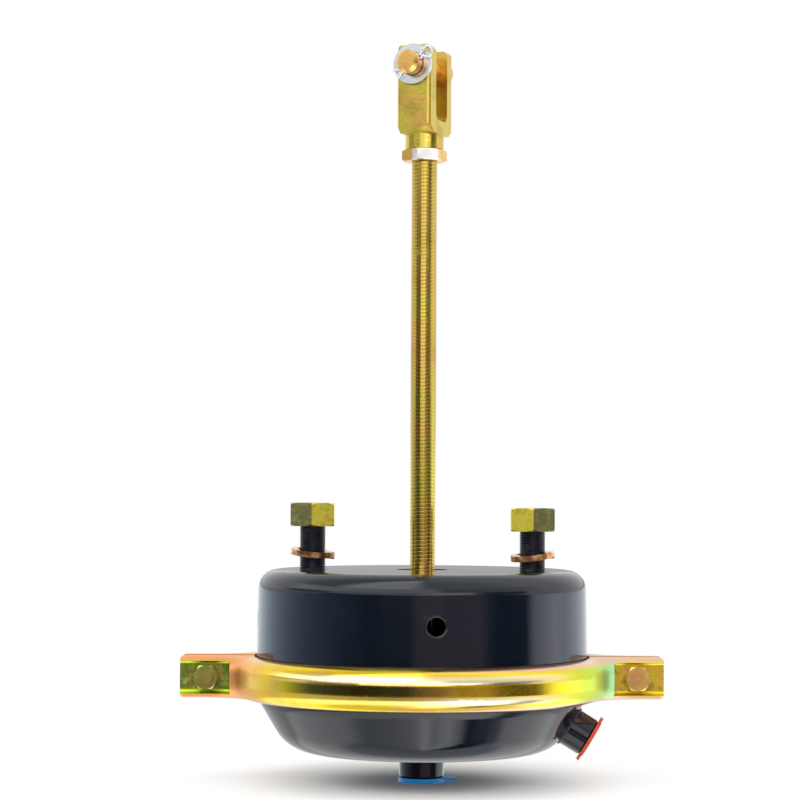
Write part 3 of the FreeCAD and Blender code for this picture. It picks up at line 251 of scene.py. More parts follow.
def turned(radii, heights, columns):
    """Points of a turned surface, closed to the axis at both ends.

    Point (i, j) is at angle 2 pi j / columns, at radius radii[i, j] and height heights[i, j];
    a first and a last row at radius 0 close the ends.
    """
    angle = full_turn(columns)
    radii = np.broadcast_to(radii, (len(radii), columns + 1))
    heights = np.broadcast_to(heights, radii.shape)
    radii = np.concatenate([0 * radii[:1], radii, 0 * radii[-1:]])
    heights = np.concatenate([heights[:1], heights, heights[-1:]])
    return np.stack([radii * np.cos(angle), radii * np.sin(angle), heights], axis=-1)


def full_turn(columns):
    """Angles 2 pi j / columns of a full turn, with 0 again at the end, so that the ends meet."""
    return 2 * np.pi * (np.arange(columns + 1) % columns) / columns


def thread_rows(crest, depth, pitch, foot, top, columns):
    """Radii and heights of a screw thread whose rows climb with the helix.

    Row (n, b) at turn t lies at height foot + pitch (n + b + t - 1), kept between foot and top.
    The radius is crest - depth groove(height / pitch - t), where groove is 0 on the crest, 1 on
    the root and straight on the flanks, and fades to 0 over one pitch at both ends.
    """
    half_crest, half_root = 0.30, 0.12
    breaks = np.array([half_crest, 0.5 - half_root, 0.5 + half_root, 1 - half_crest])
    turns = int(np.ceil((top - foot) / pitch)) + 1
    along = (np.arange(turns)[:, None] + breaks[None, :]).reshape(-1, 1)
    turn = np.linspace(0, 1, columns + 1)[None, :]
    heights = np.clip(foot + pitch * (along + turn - 1), foot, top)
    phase = np.mod((heights - foot) / pitch - turn, 1)
    groove = np.interp(phase, [0, *breaks, 1], [0, 0, 1, 1, 0, 0])
    fade = np.clip((heights - foot) / pitch, 0, 1) * np.clip((top - heights) / pitch, 0, 1)
    return crest - depth * groove * fade, heights


def threaded(below, above, thread, columns=48):
    """A turned piece with plain rows, a thread and plain rows, as one closed surface.

    Each plain row is a pair of radius and height, the same at every angle.
    """
    radii, heights = thread_rows(*thread, columns)
    below, above = (np.tile(np.array(rows)[:, :, None], columns + 1) for rows in (below, above))
    radii = np.concatenate([below[:, 0], radii, above[:, 0]])
    heights = np.concatenate([below[:, 1], heights, above[:, 1]])
    return turned(radii, heights, columns)


def tube(path, radii, sides):
    """Points of a tube, closed at both ends: round each path point a circle square to the path.

    The circle's first axis is the radial direction from Z made square to the path, and the second
    is the path's direction crossed with it.
    """
    along = np.gradient(path, axis=0)
    along /= np.linalg.norm(along, axis=1, keepdims=True)
    outwards = path * [1, 1, 0]
    outwards = outwards - (outwards * along).sum(axis=1, keepdims=True) * along
    outwards /= np.linalg.norm(outwards, axis=1, keepdims=True)
    across = np.cross(along, outwards)
    angle = full_turn(sides)[None, :, None]
    ring = np.cos(angle) * outwards[:, None] + np.sin(angle) * across[:, None]
    points = path[:, None] + radii[:, None, None] * ring
    ends = [np.repeat(path[k][None, None], sides + 1, axis=1) for k in (0, -1)]
    return np.concatenate([ends[0], points, ends[1]])


def rounded(corners, radii, steps=7):
    """An outline whose corners are arcs.

    At a corner with half angle a between its two runs, the arc of radius r starts r / tan a
    before the corner, and its centre is r / sin a away along the bisector.
    """
    rows = [corners[0]]
    for before, corner, after, radius in zip(corners, corners[1:], corners[2:], radii):
        before, corner, after = (np.array(p, dtype=float) for p in (before, corner, after))
        back = (before - corner) / np.linalg.norm(before - corner)
        ahead = (after - corner) / np.linalg.norm(after - corner)
        half = math.acos(float(np.clip(back @ ahead, -1, 1))) / 2
        bisector = (back + ahead) / np.linalg.norm(back + ahead)
        centre = corner + bisector * radius / math.sin(half)
        start = corner + back * radius / math.tan(half) - centre
        end = corner + ahead * radius / math.tan(half) - centre
        share = np.linspace(0, 1, steps)[:, None]
        spread = np.pi - 2 * half
        arc = np.sin((1 - share) * spread) * start + np.sin(share * spread) * end
        rows.extend((centre + arc / math.sin(spread)).tolist())
    rows.append(corners[-1])
    return np.array(rows, dtype=float)


# Finishes

class Graph:
    """Adds nodes to a node tree. An input is either another node's socket or a plain value."""

    def __init__(self, tree):
        self.tree = tree
        tree.nodes.clear()

    def add(self, kind, inputs=None, **settings):
        node = self.tree.nodes.new(kind)
        for name, value in settings.items():
            setattr(node, name, value)
        for key, value in (inputs or {}).items():
            if isinstance(value, bpy.types.NodeSocket):
                self.tree.links.new(value, node.inputs[key])
            else:
                node.inputs[key].default_value = value
        return node

    def math(self, operation, *values, clamp=False):
        inputs = dict(enumerate(values))
        return self.add("ShaderNodeMath", inputs, operation=operation, use_clamp=clamp).outputs[0]

    def step(self, value, low, high, to_low=0.0, to_high=1.0):
        """A smooth step from to_low to to_high as the value goes from low to high."""
        inputs = {
            "Value": value, "From Min": low, "From Max": high, "To Min": to_low, "To Max": to_high,
        }
        return self.add("ShaderNodeMapRange", inputs, interpolation_type="SMOOTHSTEP").outputs[0]

    def product(self, first, *others):
        """All the values multiplied together."""
        for other in others:
            first = self.math("MULTIPLY", first, other)
        return first

    def vector(self, operation, first, second):
        """A sum or product of two vectors."""
        inputs = {0: first, 1: second}
        return self.add("ShaderNodeVectorMath", inputs, operation=operation).outputs[0]

    def from_axis(self, x, y):
        """The distance from the Z axis."""
        return self.math("SQRT", self.math("ADD", self.product(x, x), self.product(y, y)))

    def mix(self, share, first, second):
        """A colour between two colours."""
        inputs = {0: share, 6: first, 7: second}
        return self.add("ShaderNodeMix", inputs, data_type="RGBA").outputs[2]

    def noise(self, vector, scale, detail=2.0, roughness=0.5):
        inputs = {"Vector": vector, "Scale": scale, "Detail": detail, "Roughness": roughness}
        return self.add("ShaderNodeTexNoise", inputs).outputs["Fac"]

    def place(self):
        """Object coordinates, in metres."""
        return self.add("ShaderNodeTexCoord").outputs["Object"]

    def axes(self, vector):
        """The three parts of a vector."""
        return self.add("ShaderNodeSeparateXYZ", {"Vector": vector}).outputs


SOCKETS = {1: "NodeSocketFloat", 3: "NodeSocketVector", 4: "NodeSocketColor"}


def group(name, inputs, output, kind, build):
    """A shader node group, built once, with its inputs' defaults and one output of a kind."""
    if name in bpy.data.node_groups:
        return bpy.data.node_groups[name]
    tree = bpy.data.node_groups.new(name, "ShaderNodeTree")
    for label, default in inputs.items():
        socket_type = SOCKETS[np.size(default)]
        socket = tree.interface.new_socket(label, in_out="INPUT", socket_type=socket_type)
        socket.default_value = default
    tree.interface.new_socket(output, in_out="OUTPUT", socket_type=kind)
    graph = Graph(tree)
    source = graph.add("NodeGroupInput").outputs
    graph.add("NodeGroupOutput", {output: build(graph, source)})
    return tree


def plating_tint():
    """Chromate colour: gold with rose, green and olive patches of a given size."""
    def build(graph, source):
        place = graph.place()
        first = graph.noise(place, source["Patches"], 3.0, 0.55)
        elsewhere = graph.vector("ADD", place, (3.1, 1.7, 5.3))
        second = graph.noise(elsewhere, source["Patches"], 3.0, 0.55)
        rose = graph.product(graph.step(first, 0.48, 0.66), source["Rose share"])
        green = graph.product(graph.step(second, 0.5, 0.68), source["Green share"])
        olive = graph.product(graph.step(second, 0.5, 0.32), source["Olive share"])
        tint = graph.mix(rose, source["Gold"], source["Rose"])
        tint = graph.mix(green, tint, source["Green"])
        return graph.mix(olive, tint, source["Olive"])

    inputs = {name: (1, 1, 1, 1) for name in ("Gold", "Rose", "Green", "Olive")}
    inputs |= {f"{name} share": 0.5 for name in ("Rose", "Green", "Olive")}
    inputs |= {"Patches": 60.0}
    return group("Plating tint", inputs, "Color", "NodeSocketColor", build)


def fine_grain():
    """Height of a fine grain in two sizes, stretched by a given amount along each axis."""
    def build(graph, source):
        stretched = graph.vector("MULTIPLY", graph.place(), source["Stretch"])
        coarse = graph.noise(stretched, source["Scale"], 2.0)
        fine = graph.noise(stretched, graph.product(source["Scale"], 4.0), 1.0)
        return graph.math("ADD", graph.product(coarse, 0.7), graph.product(fine, 0.3))

    inputs = {"Scale": 400.0, "Stretch": (1, 1, 1)}
    return group("Fine grain", inputs, "Height", "NodeSocketFloat", build)


def rub_marks():
    """Mask of rubbed patches and thin scratches left by handling."""
    def build(graph, source):
        place = graph.place()
        patches = graph.step(graph.noise(place, source["Scale"], 4.0, 0.6), 0.52, 0.72)
        stretched = graph.vector("MULTIPLY", place, (9, 1.3, 5))
        scratches = graph.noise(stretched, graph.product(source["Scale"], 7.0), 2.0)
        scratches = graph.step(scratches, 0.62, 0.7)
        both = graph.math("MAXIMUM", graph.product(patches, 0.6), scratches)
        return graph.math("MULTIPLY", both, source["Amount"], clamp=True)

    inputs = {"Scale": 40.0, "Amount": 1.0}
    return group("Rub marks", inputs, "Mask", "NodeSocketFloat", build)


class Finish(Graph):
    """A material with one Principled shader, whose plain numbers are set on its own sockets."""

    def __init__(self, name, **sockets):
        self.material = bpy.data.materials.new(name)
        self.material.use_nodes = True
        super().__init__(self.material.node_tree)
        self.shader = self.add("ShaderNodeBsdfPrincipled")
        self.add("ShaderNodeOutputMaterial", {"Surface": self.shader.outputs["BSDF"]})
        for socket, value in sockets.items():
            self.set(socket.replace("_", " ").title().replace("Ior", "IOR"), value)

    def set(self, socket, value):
        if isinstance(value, bpy.types.NodeSocket):
            self.tree.links.new(value, self.shader.inputs[socket])
        else:
            self.shader.inputs[socket].default_value = value

    def use(self, tree, **inputs):
        named = {name.replace("_", " "): value for name, value in inputs.items()}
        return self.add("ShaderNodeGroup", named, node_tree=tree).outputs[0]

    def wear(self, scale, smooth, rubbed_and_highlight, amount=1.0, extra=None):
        """Roughness from smooth to rubbed where the surface is handled, plus anything extra.

        The mask of the rubbed places comes back, for the colour.
        """
        marks = self.use(rub_marks(), Scale=scale, Amount=amount)
        rough = self.step(marks, 0.0, 1.0, smooth, rubbed_and_highlight)
        self.set("Roughness", rough if extra is None else self.math("ADD", rough, extra))
        return marks

    def grain(self, scale, strength, depth=0.0002, stretch=(1, 1, 1)):
        """Bump from a fine grain of the given depth in metres."""
        height = self.use(fine_grain(), Scale=scale, Stretch=stretch)
        inputs = {"Height": height, "Strength": strength, "Distance": depth}
        self.set("Normal", self.add("ShaderNodeBump", inputs).outputs[0])


def palette():
    """The panel's colours."""
    return bpy.context.scene.chamber_finish


def rgba(colour_value, strength=1.0):
    """A colour with its alpha, made brighter or darker by a factor."""
    return (*(channel * strength for channel in colour_value), 1.0)


def made(build):
    """A finish, built at its first use under a name that the frame's own materials don't have."""
    name = f"{build.__name__}_finish"
    return bpy.data.materials.get(name) or build(name).material


def chromate(finish, base, patches, rose, green, olive):
    """The plating colour of one finish: its own base, and the panel's tints by the given shares."""
    colours = palette()
    return finish.use(
        plating_tint(), Gold=rgba(base), Rose=rgba(colours.rose), Green=rgba(colours.green),
        Olive=rgba(colours.olive), Rose_share=rose, Green_share=green, Olive_share=olive,
        Patches=patches,
    )


def worn(name, tone, rubbed_and_highlight, wear, grain, **sockets):
    """A finish that turns from one colour to another where it is rubbed."""
    finish = Finish(name, **sockets)
    finish.set("Base Color", finish.mix(finish.wear(*wear), tone, rubbed_and_highlight))
    finish.grain(*grain)
    return finish


def enamel(name):
    """Gloss black enamel: slight orange peel, and smudges that dull the gloss a little."""
    black = palette().enamel
    return worn(
        name, rgba(black), rgba(black, 2.2), wear=(26, 0.09, 0.22, 0.5),
        grain=(230, 0.02, 0.0006), specular_ior_level=0.55, ior=1.5,
    )


def band_chromate(name):
    """Chromate of the clamp band.

    The colour goes from rose at the left ear through gold to green at the right ear. A brown band
    along the middle is a painted dark reflection, and pale lines beside it are painted highlights.
    The lips are rose, more so at the right. In the ear pockets the corners carry a painted
    reflection, and the webs under the bolts a painted shade, green at the left and gold at the
    right. Each mask is made of smooth steps between two places, in metres.
    """
    colours = palette()
    finish = Finish(name, metallic=1.0)
    x, y, z = finish.axes(finish.place())
    middle = (BAND_LOW.z + BAND_HIGH.z) / 2
    from_middle = finish.math("ABSOLUTE", finish.math("SUBTRACT", z, middle))
    reach = finish.math("ABSOLUTE", x)
    step, product = finish.step, finish.product
    upper = step(z, middle - 0.001, middle + 0.001)
    right = step(x, -0.01, 0.01)
    # Painted dark reflection: brown along the middle of the band, fading near the ears and weaker
    # at the right.
    dark_reflection = product(
        step(from_middle, 0.0032, 0.0018), step(x, -0.075, -0.055),
        step(x, 0.030, -0.010, 0.35, 1.0), step(x, 0.075, 0.050),
    )
    left_ear = step(x, -0.076, -0.104)
    right_ear = step(x, 0.060, 0.094)
    mint = product(step(x, 0.092, 0.101), step(x, 0.114, 0.105))
    # Painted highlights: pale lines above and below the middle of the band, fading near the ears;
    # the lower line is faint at the left.
    rubbed_and_highlight = product(
        step(from_middle, 0.0026, 0.0042), step(from_middle, 0.0082, 0.0062),
        step(reach, 0.085, 0.05, 0.0, 0.7),
        finish.math("MAXIMUM", upper, step(x, -0.010, 0.025, 0.25, 1.0)),
    )
    lips = product(step(from_middle, 0.0082, 0.0100), step(x, -0.03, 0.06, 0.0, 0.85))
    # Painted reflection: the ear pockets, whose corners are tinted bright where the fillets mirror
    # light.
    pocket = product(
        step(finish.math("ABSOLUTE", y), 0.0152, 0.0140),
        step(reach, 0.1035, 0.1045), step(from_middle, 0.00895, 0.00885),
    )
    pocket_reflection_tint = finish.mix(right, rgba(colours.left_pocket_reflection), rgba(colours.right_pocket_reflection))
    # Painted shade: the middle of each pocket's web, under the bolt, is painted darker.
    web_shade = product(pocket, step(from_middle, 0.0078, 0.0066))
    web_shade_tint = finish.mix(
        right,
        chromate(finish, colours.left_web_shade, 260, rose=0.35, green=0.6, olive=0.8),
        chromate(finish, colours.right_web_shade, 260, rose=0.6, green=0.3, olive=0.8),
    )
    tint = chromate(finish, colours.gold, 34, rose=0.35, green=0.12, olive=0.1)
    for mask, over in (
        (dark_reflection, rgba(colours.dark_reflection)), (left_ear, rgba(colours.left_ear)),
        (right_ear, rgba(colours.right_ear)), (mint, rgba(colours.mint)),
        (rubbed_and_highlight, rgba(colours.rubbed_and_highlight)), (lips, rgba(colours.lips)),
        (pocket, pocket_reflection_tint), (web_shade, web_shade_tint),
    ):
        tint = finish.mix(mask, tint, over)
    finish.set("Base Color", tint)
    finish.wear(45, 0.17, 0.34, extra=step(reach, 0.088, 0.096, 0.0, 0.22))
    finish.grain(190, 0.08, 0.0006)
    return finish


def rod_chromate(name):
    """Chromate of the push rod: gold with olive and brown lengths, and painted shade in the thread
    roots.
    """
    colours = palette()
    finish = Finish(name, metallic=1.0)
    x, y, _ = finish.axes(finish.place())
    crest = ROD_HIGH.x
    # Painted shade: darker brown in the thread roots, below the crests.
    root = finish.step(finish.from_axis(x, y), crest - 0.00004, crest - 0.00013, 0.0, 0.3)
    tint = chromate(finish, colours.rod, 30, rose=0.35, green=0.3, olive=0.45)
    finish.set("Base Color", finish.mix(root, tint, rgba(colours.rod_root_shade)))
    finish.wear(90, 0.15, 0.28)
    finish.grain(900, 0.06, stretch=(1, 1, 0.3))
    return finish


def fork_chromate(name):
    """Chromate over the fork's skin: mustard gold, uneven, smoother on the turned neck."""
    finish = Finish(name, metallic=1.0)
    z = finish.axes(finish.place())[2]
    tint = chromate(finish, palette().fork, 75, rose=0.35, green=0.3, olive=0.5)
    finish.set("Base Color", tint)
    finish.wear(110, 0.0, 0.18, extra=finish.step(z, NECK_TOP - 0.001, NECK_TOP, 0.10, 0.26))
    finish.grain(620, 0.15, 0.0003)
    return finish


def jam_nut_chromate(name):
    """Chromate of the jam nut: orange gold, with a painted highlight that makes its front face
    nearly white.
    """
    colours = palette()
    finish = Finish(name, metallic=1.0)
    x, y, _ = finish.axes(finish.place())
    across = finish.math("ABSOLUTE", x)
    # Painted highlight: the front face is painted nearly white.
    front = finish.product(finish.step(y, -0.0085, -0.0095), finish.step(across, 0.0085, 0.0070))
    tint = chromate(finish, colours.jam_nut, 95, rose=0.7, green=0.1, olive=0.1)
    finish.set("Base Color", finish.mix(front, tint, rgba(colours.jam_nut_front_highlight)))
    finish.wear(120, 0.2, 0.36)
    finish.grain(700, 0.15, stretch=(1, 1, 0.4))
    return finish


def mounting_nut_chromate(name):
    """Chromate of the mounting nuts: painted light turns the side towards the push rod yellow and
    green, and painted shade turns the outer side deep olive.
    """
    colours = palette()
    finish = Finish(name, metallic=0.45)
    reach = finish.math("ABSOLUTE", finish.axes(finish.place())[0])
    # Painted light on the side towards the push rod, painted shade on the outer side.
    lit_side = chromate(finish, colours.nut, 240, rose=0.3, green=0.8, olive=0.5)
    shaded_side = chromate(finish, colours.nut_outside_shade, 240, rose=0.2, green=0.2, olive=0.6)
    finish.set("Base Color", finish.mix(finish.step(reach, 0.0600, 0.0606), lit_side, shaded_side))
    finish.wear(120, 0.22, 0.42)
    finish.grain(700, 0.2, stretch=(1, 1, 0.4))
    return finish


def clamp_bolt_chromate(name):
    """Chromate of the clamp bolts and nuts: dark olive at the left ear, tan at the right ear."""
    colours = palette()
    finish = Finish(name, metallic=1.0)
    x = finish.axes(finish.place())[0]
    left = chromate(finish, colours.left_bolt, 130, rose=0.2, green=0.4, olive=0.6)
    right = chromate(finish, colours.right_bolt, 130, rose=0.6, green=0.1, olive=0.2)
    finish.set("Base Color", finish.mix(finish.step(x, -0.01, 0.01), left, right))
    finish.wear(140, 0.24, 0.45)
    finish.grain(700, 0.25)
    return finish


def pin_chromate(name):
    """Coppery chromate of the fork pin."""
    finish = Finish(name, metallic=1.0)
    tint = chromate(finish, palette().pin, 160, rose=0.8, green=0.1, olive=0.2)
    finish.set("Base Color", tint)
    finish.wear(160, 0.26, 0.45)
    finish.grain(800, 0.2)
    return finish


def bright_zinc(name):
    """Bright zinc plate with a bluish cast and fine wear."""
    colours = palette()
    return worn(
        name, rgba(colours.zinc), rgba(colours.worn_zinc), wear=(150, 0.2, 0.38),
        grain=(900, 0.15), metallic=1.0,
    )


def copper_chromate(name):
    """Copper-toned chromate of the lock washers, with brown patches."""
    colours = palette()
    finish = Finish(name, metallic=1.0)
    tint = chromate(finish, colours.copper, 420, rose=0.9, green=0.25, olive=0.5)
    patches = finish.step(finish.noise(finish.place(), 160), 0.42, 0.6)
    finish.set("Base Color", finish.mix(patches, tint, rgba(colours.washer_patches)))
    finish.wear(140, 0.14, 0.3)
    finish.grain(800, 0.2)
    return finish


def black_oxide(name):
    """Oiled black oxide of the mounting studs, lighter where it is rubbed."""
    colours = palette()
    return worn(
        name, rgba(colours.oxide), rgba(colours.rubbed_oxide), wear=(150, 0.3, 0.5),
        grain=(900, 0.25), metallic=0.6,
    )


def drawn_steel(name, tone, wear):
    """Bare or oiled steel with drawn grain, darker where it is rubbed."""
    return worn(
        name, rgba(tone), rgba(tone, 0.6), wear, grain=(500, 0.2, 0.0002, (1, 1, 4)),
        metallic=1.0,
    )


def grey_steel(name):
    """Pressed steel inside the chamber."""
    return drawn_steel(name, palette().steel, (50, 0.32, 0.5))


def spring_steel(name):
    """Oiled spring wire."""
    return drawn_steel(name, palette().spring, (80, 0.28, 0.45))


def rubber(name):
    """Moulded rubber with a fine fabric texture and a bloom of dust."""
    black = palette().rubber
    return worn(
        name, rgba(black), rgba(black, 2.0), wear=(35, 0.55, 0.75),
        grain=(1300, 0.3, 0.0003), specular_ior_level=0.35,
    )


def seal_rubber(name):
    """Rubber of the rod seal, greased and so shinier than the diaphragm."""
    black = palette().rubber
    return worn(
        name, rgba(black), rgba(black, 2.0), wear=(60, 0.15, 0.3), grain=(900, 0.05),
        specular_ior_level=0.5,
    )


def plastic(name, tone):
    """Moulded polythene, slightly waxy and scuffed."""
    return worn(
        name, rgba(tone), rgba(tone, 1.4), wear=(180, 0.36, 0.5), grain=(900, 0.15),
        specular_ior_level=0.45,
    )


def blue_plastic(name):
    """Blue polythene of the bottom plug."""
    # Painted light: the blue is brighter than the plastic's own tone, against the shadow the plug
    # sits in.
    return plastic(name, palette().blue)


def red_plastic(name):
    """Red polythene of the side plug."""
    return plastic(name, palette().red)


def dress_nodes(build, *nodes):
    """Give CAD nodes a finish."""
    material = made(build)
    for node in nodes:
        frame["nodes"][node].material_slots[0].material = material


def dress_piece(piece, build, body, slot, *replaced):
    """Give a new piece its finish and body, and hide what it replaces."""
    piece.data.materials.append(made(build))
    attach(piece, body)
    if replaced:
        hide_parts(*replaced)


# The studio

# Each lamp's name, place in metres, width, height and power in watts. All face the origin.
LAMPS = (
    ("top_light", (-0.2, -0.3, 1.2), 1.0, 0.8, 3),
    ("left_light", (-1.1, -0.6, 0.5), 0.6, 0.9, 2),
    ("right_light", (1.1, -0.4, 0.4), 0.6, 0.9, 2),
)

# The surroundings, from below to overhead: the heights between which each zone blends into the
# one under it, as the sine of the elevation, and its colours round the horizon, as azimuth in
# degrees from the front, positive to the right, and share of the brightest light.
BRIGHTEST = 2.5
SURROUNDINGS = (
    (-1.0, -1.0, (
        (-180, 0.3), (-115, (0.3, 0.31, 0.33)), (-70, (0.26, 0.27, 0.3)), (-45, 0.36),
        (-12, 0.5), (6, 1.0), (16, 0.6), (34, 0.9), (48, 0.5), (56, 0.02), (76, 0.02),
        (86, (0.36, 0.4, 0.46)), (150, (0.3, 0.32, 0.36)), (180, 0.3),
    )),
    (-0.88, -0.8, (
        (-180, 0.5), (-100, 0.6), (-40, 0.6), (-20, 0.7), (8, 0.8), (22, 1.0), (60, 0.9),
        (72, 0.16), (84, 0.16), (92, 0.6), (130, 0.7), (180, 0.5),
    )),
    (-0.54, -0.48, (
        (-180, 0.3), (-115, 0.3), (-70, 0.2), (-20, 0.12), (8, 0.2), (35, 0.3), (68, 0.4),
        (100, 0.5), (180, 0.3),
    )),
    (-0.17, -0.12, (
        (-180, 0.5), (-140, (0.44, 0.5, 0.58)), (-112, (0.3, 0.35, 0.42)),
        (-84, (0.14, 0.17, 0.22)), (-55, (0.045, 0.055, 0.075)), (-40, 0.016), (-8, 0.016),
        (-3, (0.14, 0.1, 0.108)), (40, (0.17, 0.12, 0.135)), (49, 0.03), (56, 0.012),
        (76, 0.012), (84, (0.5, 0.5, 0.58)), (104, (0.72, 0.71, 0.8)),
        (116, (0.48, 0.52, 0.6)), (140, (0.5, 0.52, 0.56)), (180, 0.5),
    )),
    (0.01, 0.03, (
        (-180, 0.14), (-160, 0.3), (-76, 0.3), (-69, 0.02), (-29, 0.02), (-25, 0.6),
        (14, 0.6), (19, 0.07), (52, 0.07), (64, 0.14), (72, 0.4), (130, 0.4), (150, 0.3),
        (165, 0.14), (180, 0.14),
    )),
    (0.126, 0.142, (
        (-180, 0.36), (-130, 0.36), (-122, 0.12), (-74, 0.12), (-64, 0.4), (-8, 0.4),
        (4, 0.6), (10, 0.8), (33, 0.8), (38, 0.3), (47, 0.05), (75, 0.05), (80, 0.45),
        (180, 0.36),
    )),
    (0.235, 0.265, (
        (-180, 0.4), (-125, 0.4), (-100, 0.66), (-20, 0.6), (8, 0.6), (17, 0.24), (60, 0.28),
        (100, 0.48), (180, 0.4),
    )),
    (0.5, 0.6, (
        (-180, 0.3), (-75, 0.24), (-56, 1.0), (-10, 1.0), (4, 0.34), (60, 0.38), (90, 0.5),
        (180, 0.3),
    )),
)


def soft_box(name, place, width, height, power):
    """A rectangular lamp that faces the origin and that the camera and reflections don't see."""
    lamp = bpy.data.lights.new(name, "AREA")
    lamp.shape = "RECTANGLE"
    lamp.size, lamp.size_y = width, height
    lamp.energy = power
    box = bpy.data.objects.new(name, lamp)
    bpy.context.scene.collection.objects.link(box)
    box.location = place
    box.rotation_euler = (-Vector(place)).to_track_quat("-Z", "Y").to_euler()
    box.visible_camera = False
    box.visible_glossy = False


# One operator for each piece or group of like pieces

class CHAMBER_OT_housings(bpy.types.Operator):
    """Enamel the two pressed housings and the port bosses"""

    bl_idname = "chamber.housings"
    bl_label = "Housings"

    def execute(self, context):
        dress_nodes(enamel, "non_pressure_housing", "pressure_housing")
        dress_nodes(enamel, "bottom_port_boss", "side_port_boss")
        return {"FINISHED"}


class CHAMBER_OT_welds(bpy.types.Operator):
    """Lay a rippled weld bead round each port boss"""

    bl_idname = "chamber.welds"
    bl_label = "Weld beads"

    def execute(self, context):
        bottom, down = Vector((0, 0, BOTTOM_BOSS_LOW.z)), Vector((0, 0, -1))
        self.bead("bottom_boss_weld", bottom, down, BOTTOM_BOSS_HIGH.x)
        port = next(mount for mount in frame["record"]["mounts"] if mount["name"] == "side_port")
        mouth, axis = Vector(port["pos_m"]), Vector(port["axis"])
        self.bead("side_boss_weld", mouth, axis, context.scene.chamber_shape.side_boss_radius)
        return {"FINISHED"}

    def bead(self, name, mouth, axis, radius):
        """A bead along the line where a boss meets the lower housing.

        At angle a round the boss, the line's point is the first one on the boss's side, going in
        from its mouth, that is no further from the Z axis than the housing's outline at its
        height. The bead's section there is a circle of radius w (1 + 0.16 cos(n a)), in the plane
        of the boss's axis and of the outward direction.
        """
        columns, sides, ripple = 264, 12, 0.16
        boss_length, samples = 0.024, 481
        shape = bpy.context.scene.chamber_shape
        across = axis.orthogonal().normalized()
        around = full_turn(columns)[:, None]
        outwards = np.cos(around) * np.array(across) + np.sin(around) * np.array(axis.cross(across))
        depth = np.linspace(0, boss_length, samples)[None, :, None]
        side = np.array(mouth) + radius * outwards[:, None] - depth * np.array(axis)
        outline = self.bowl_outline()
        wall = np.interp(side[..., 2], outline[::-1, 1], outline[::-1, 0], left=0)
        first = (np.hypot(side[..., 0], side[..., 1]) <= wall).argmax(axis=1)
        line = side[np.arange(len(side)), first]
        size = shape.weld * (1 + ripple * np.cos(shape.weld_ripples * around))
        turn = full_turn(sides)[None, :, None]
        ring = np.cos(turn) * outwards[:, None] + np.sin(turn) * np.array(axis)
        points = line[:, None] + size[:, :, None] * ring
        weld = grid_object(name, points, sharp_angle=60)
        dress_piece(weld, enamel, "chamber", "black_enamel")

    def bowl_outline(self):
        """Radius and height down the lower housing's outside, from its upright wall to its bottom.

        The bottom falls by a hair towards the axis, so that the heights only go down.
        """
        upper_bend, lower_bend, hair = 0.012, 0.024, 1e-6
        shape = bpy.context.scene.chamber_shape
        wall, bend = shape.bowl_wall, shape.bowl_slope_start
        foot = wall + (BOWL_LOW.z - bend) * math.tan(shape.bowl_slope)
        corners = [(wall, BOWL_HIGH.z), (wall, bend), (foot, BOWL_LOW.z), (0.0, BOWL_LOW.z - hair)]
        return rounded(corners, [upper_bend, lower_bend], 15)


class CHAMBER_OT_clamp(bpy.types.Operator):
    """Plate the clamp halves, their bolts and nuts"""

    bl_idname = "chamber.clamp"
    bl_label = "Clamp"

    def execute(self, context):
        dress_nodes(band_chromate, "clamp_half_front", "clamp_half_rear")
        dress_nodes(clamp_bolt_chromate, "clamp_bolts", "clamp_nuts")
        return {"FINISHED"}


class CHAMBER_OT_push_rod(bpy.types.Operator):
    """Draw the push rod with its thread"""

    bl_idname = "chamber.push_rod"
    bl_label = "Push rod"

    def execute(self, context):
        """The thread runs from its foot to the bevelled end, above a plain foot."""
        shape = context.scene.chamber_shape
        radius = ROD_HIGH.x
        shoulder = ROD_HIGH.z - shape.rod_chamfer
        below = [(radius, ROD_LOW.z)]
        above = [(radius - shape.rod_chamfer, ROD_HIGH.z)]
        thread = (radius, shape.rod_thread_depth, shape.rod_pitch, shape.rod_thread_foot, shoulder)
        points = threaded(below, above, thread)
        rod = grid_object("threaded_push_rod", points, sharp_angle=20)
        dress_piece(rod, rod_chromate, "pushrod", "yellow_chromate", "push_rod")
        return {"FINISHED"}


class CHAMBER_OT_studs(bpy.types.Operator):
    """Draw both mounting studs with heads, necks and threads"""

    bl_idname = "chamber.studs"
    bl_label = "Mounting studs"

    def execute(self, context):
        """A bevelled head and a plain neck below the thread, and a bevelled end above it."""
        shape = context.scene.chamber_shape
        head = (STUD_HIGH.x - STUD_LOW.x) / 2
        head_top = STUD_LOW.z + shape.stud_head
        bevel = shape.stud_head_bevel
        foot = shape.stud_thread_foot
        shoulder = STUD_HIGH.z - shape.stud_chamfer
        below = [
            (head - bevel, STUD_LOW.z), (head, STUD_LOW.z + bevel),
            (head, head_top - bevel), (head - bevel, head_top),
            (shape.stud_neck, head_top), (shape.stud_neck, foot),
        ]
        above = [(shape.stud_crest - shape.stud_chamfer, STUD_HIGH.z)]
        thread = (shape.stud_crest, shape.stud_thread_depth, shape.stud_pitch, foot, shoulder)
        points = threaded(below, above, thread)
        for side in ("left", "right"):
            low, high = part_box(f"mounting_stud_{side}")
            placed = points + np.array([(low.x + high.x) / 2, 0, 0])
            stud = grid_object(f"threaded_stud_{side}", placed, sharp_angle=20)
            dress_piece(stud, black_oxide, "chamber", "black_oxide", f"mounting_stud_{side}")
        return {"FINISHED"}


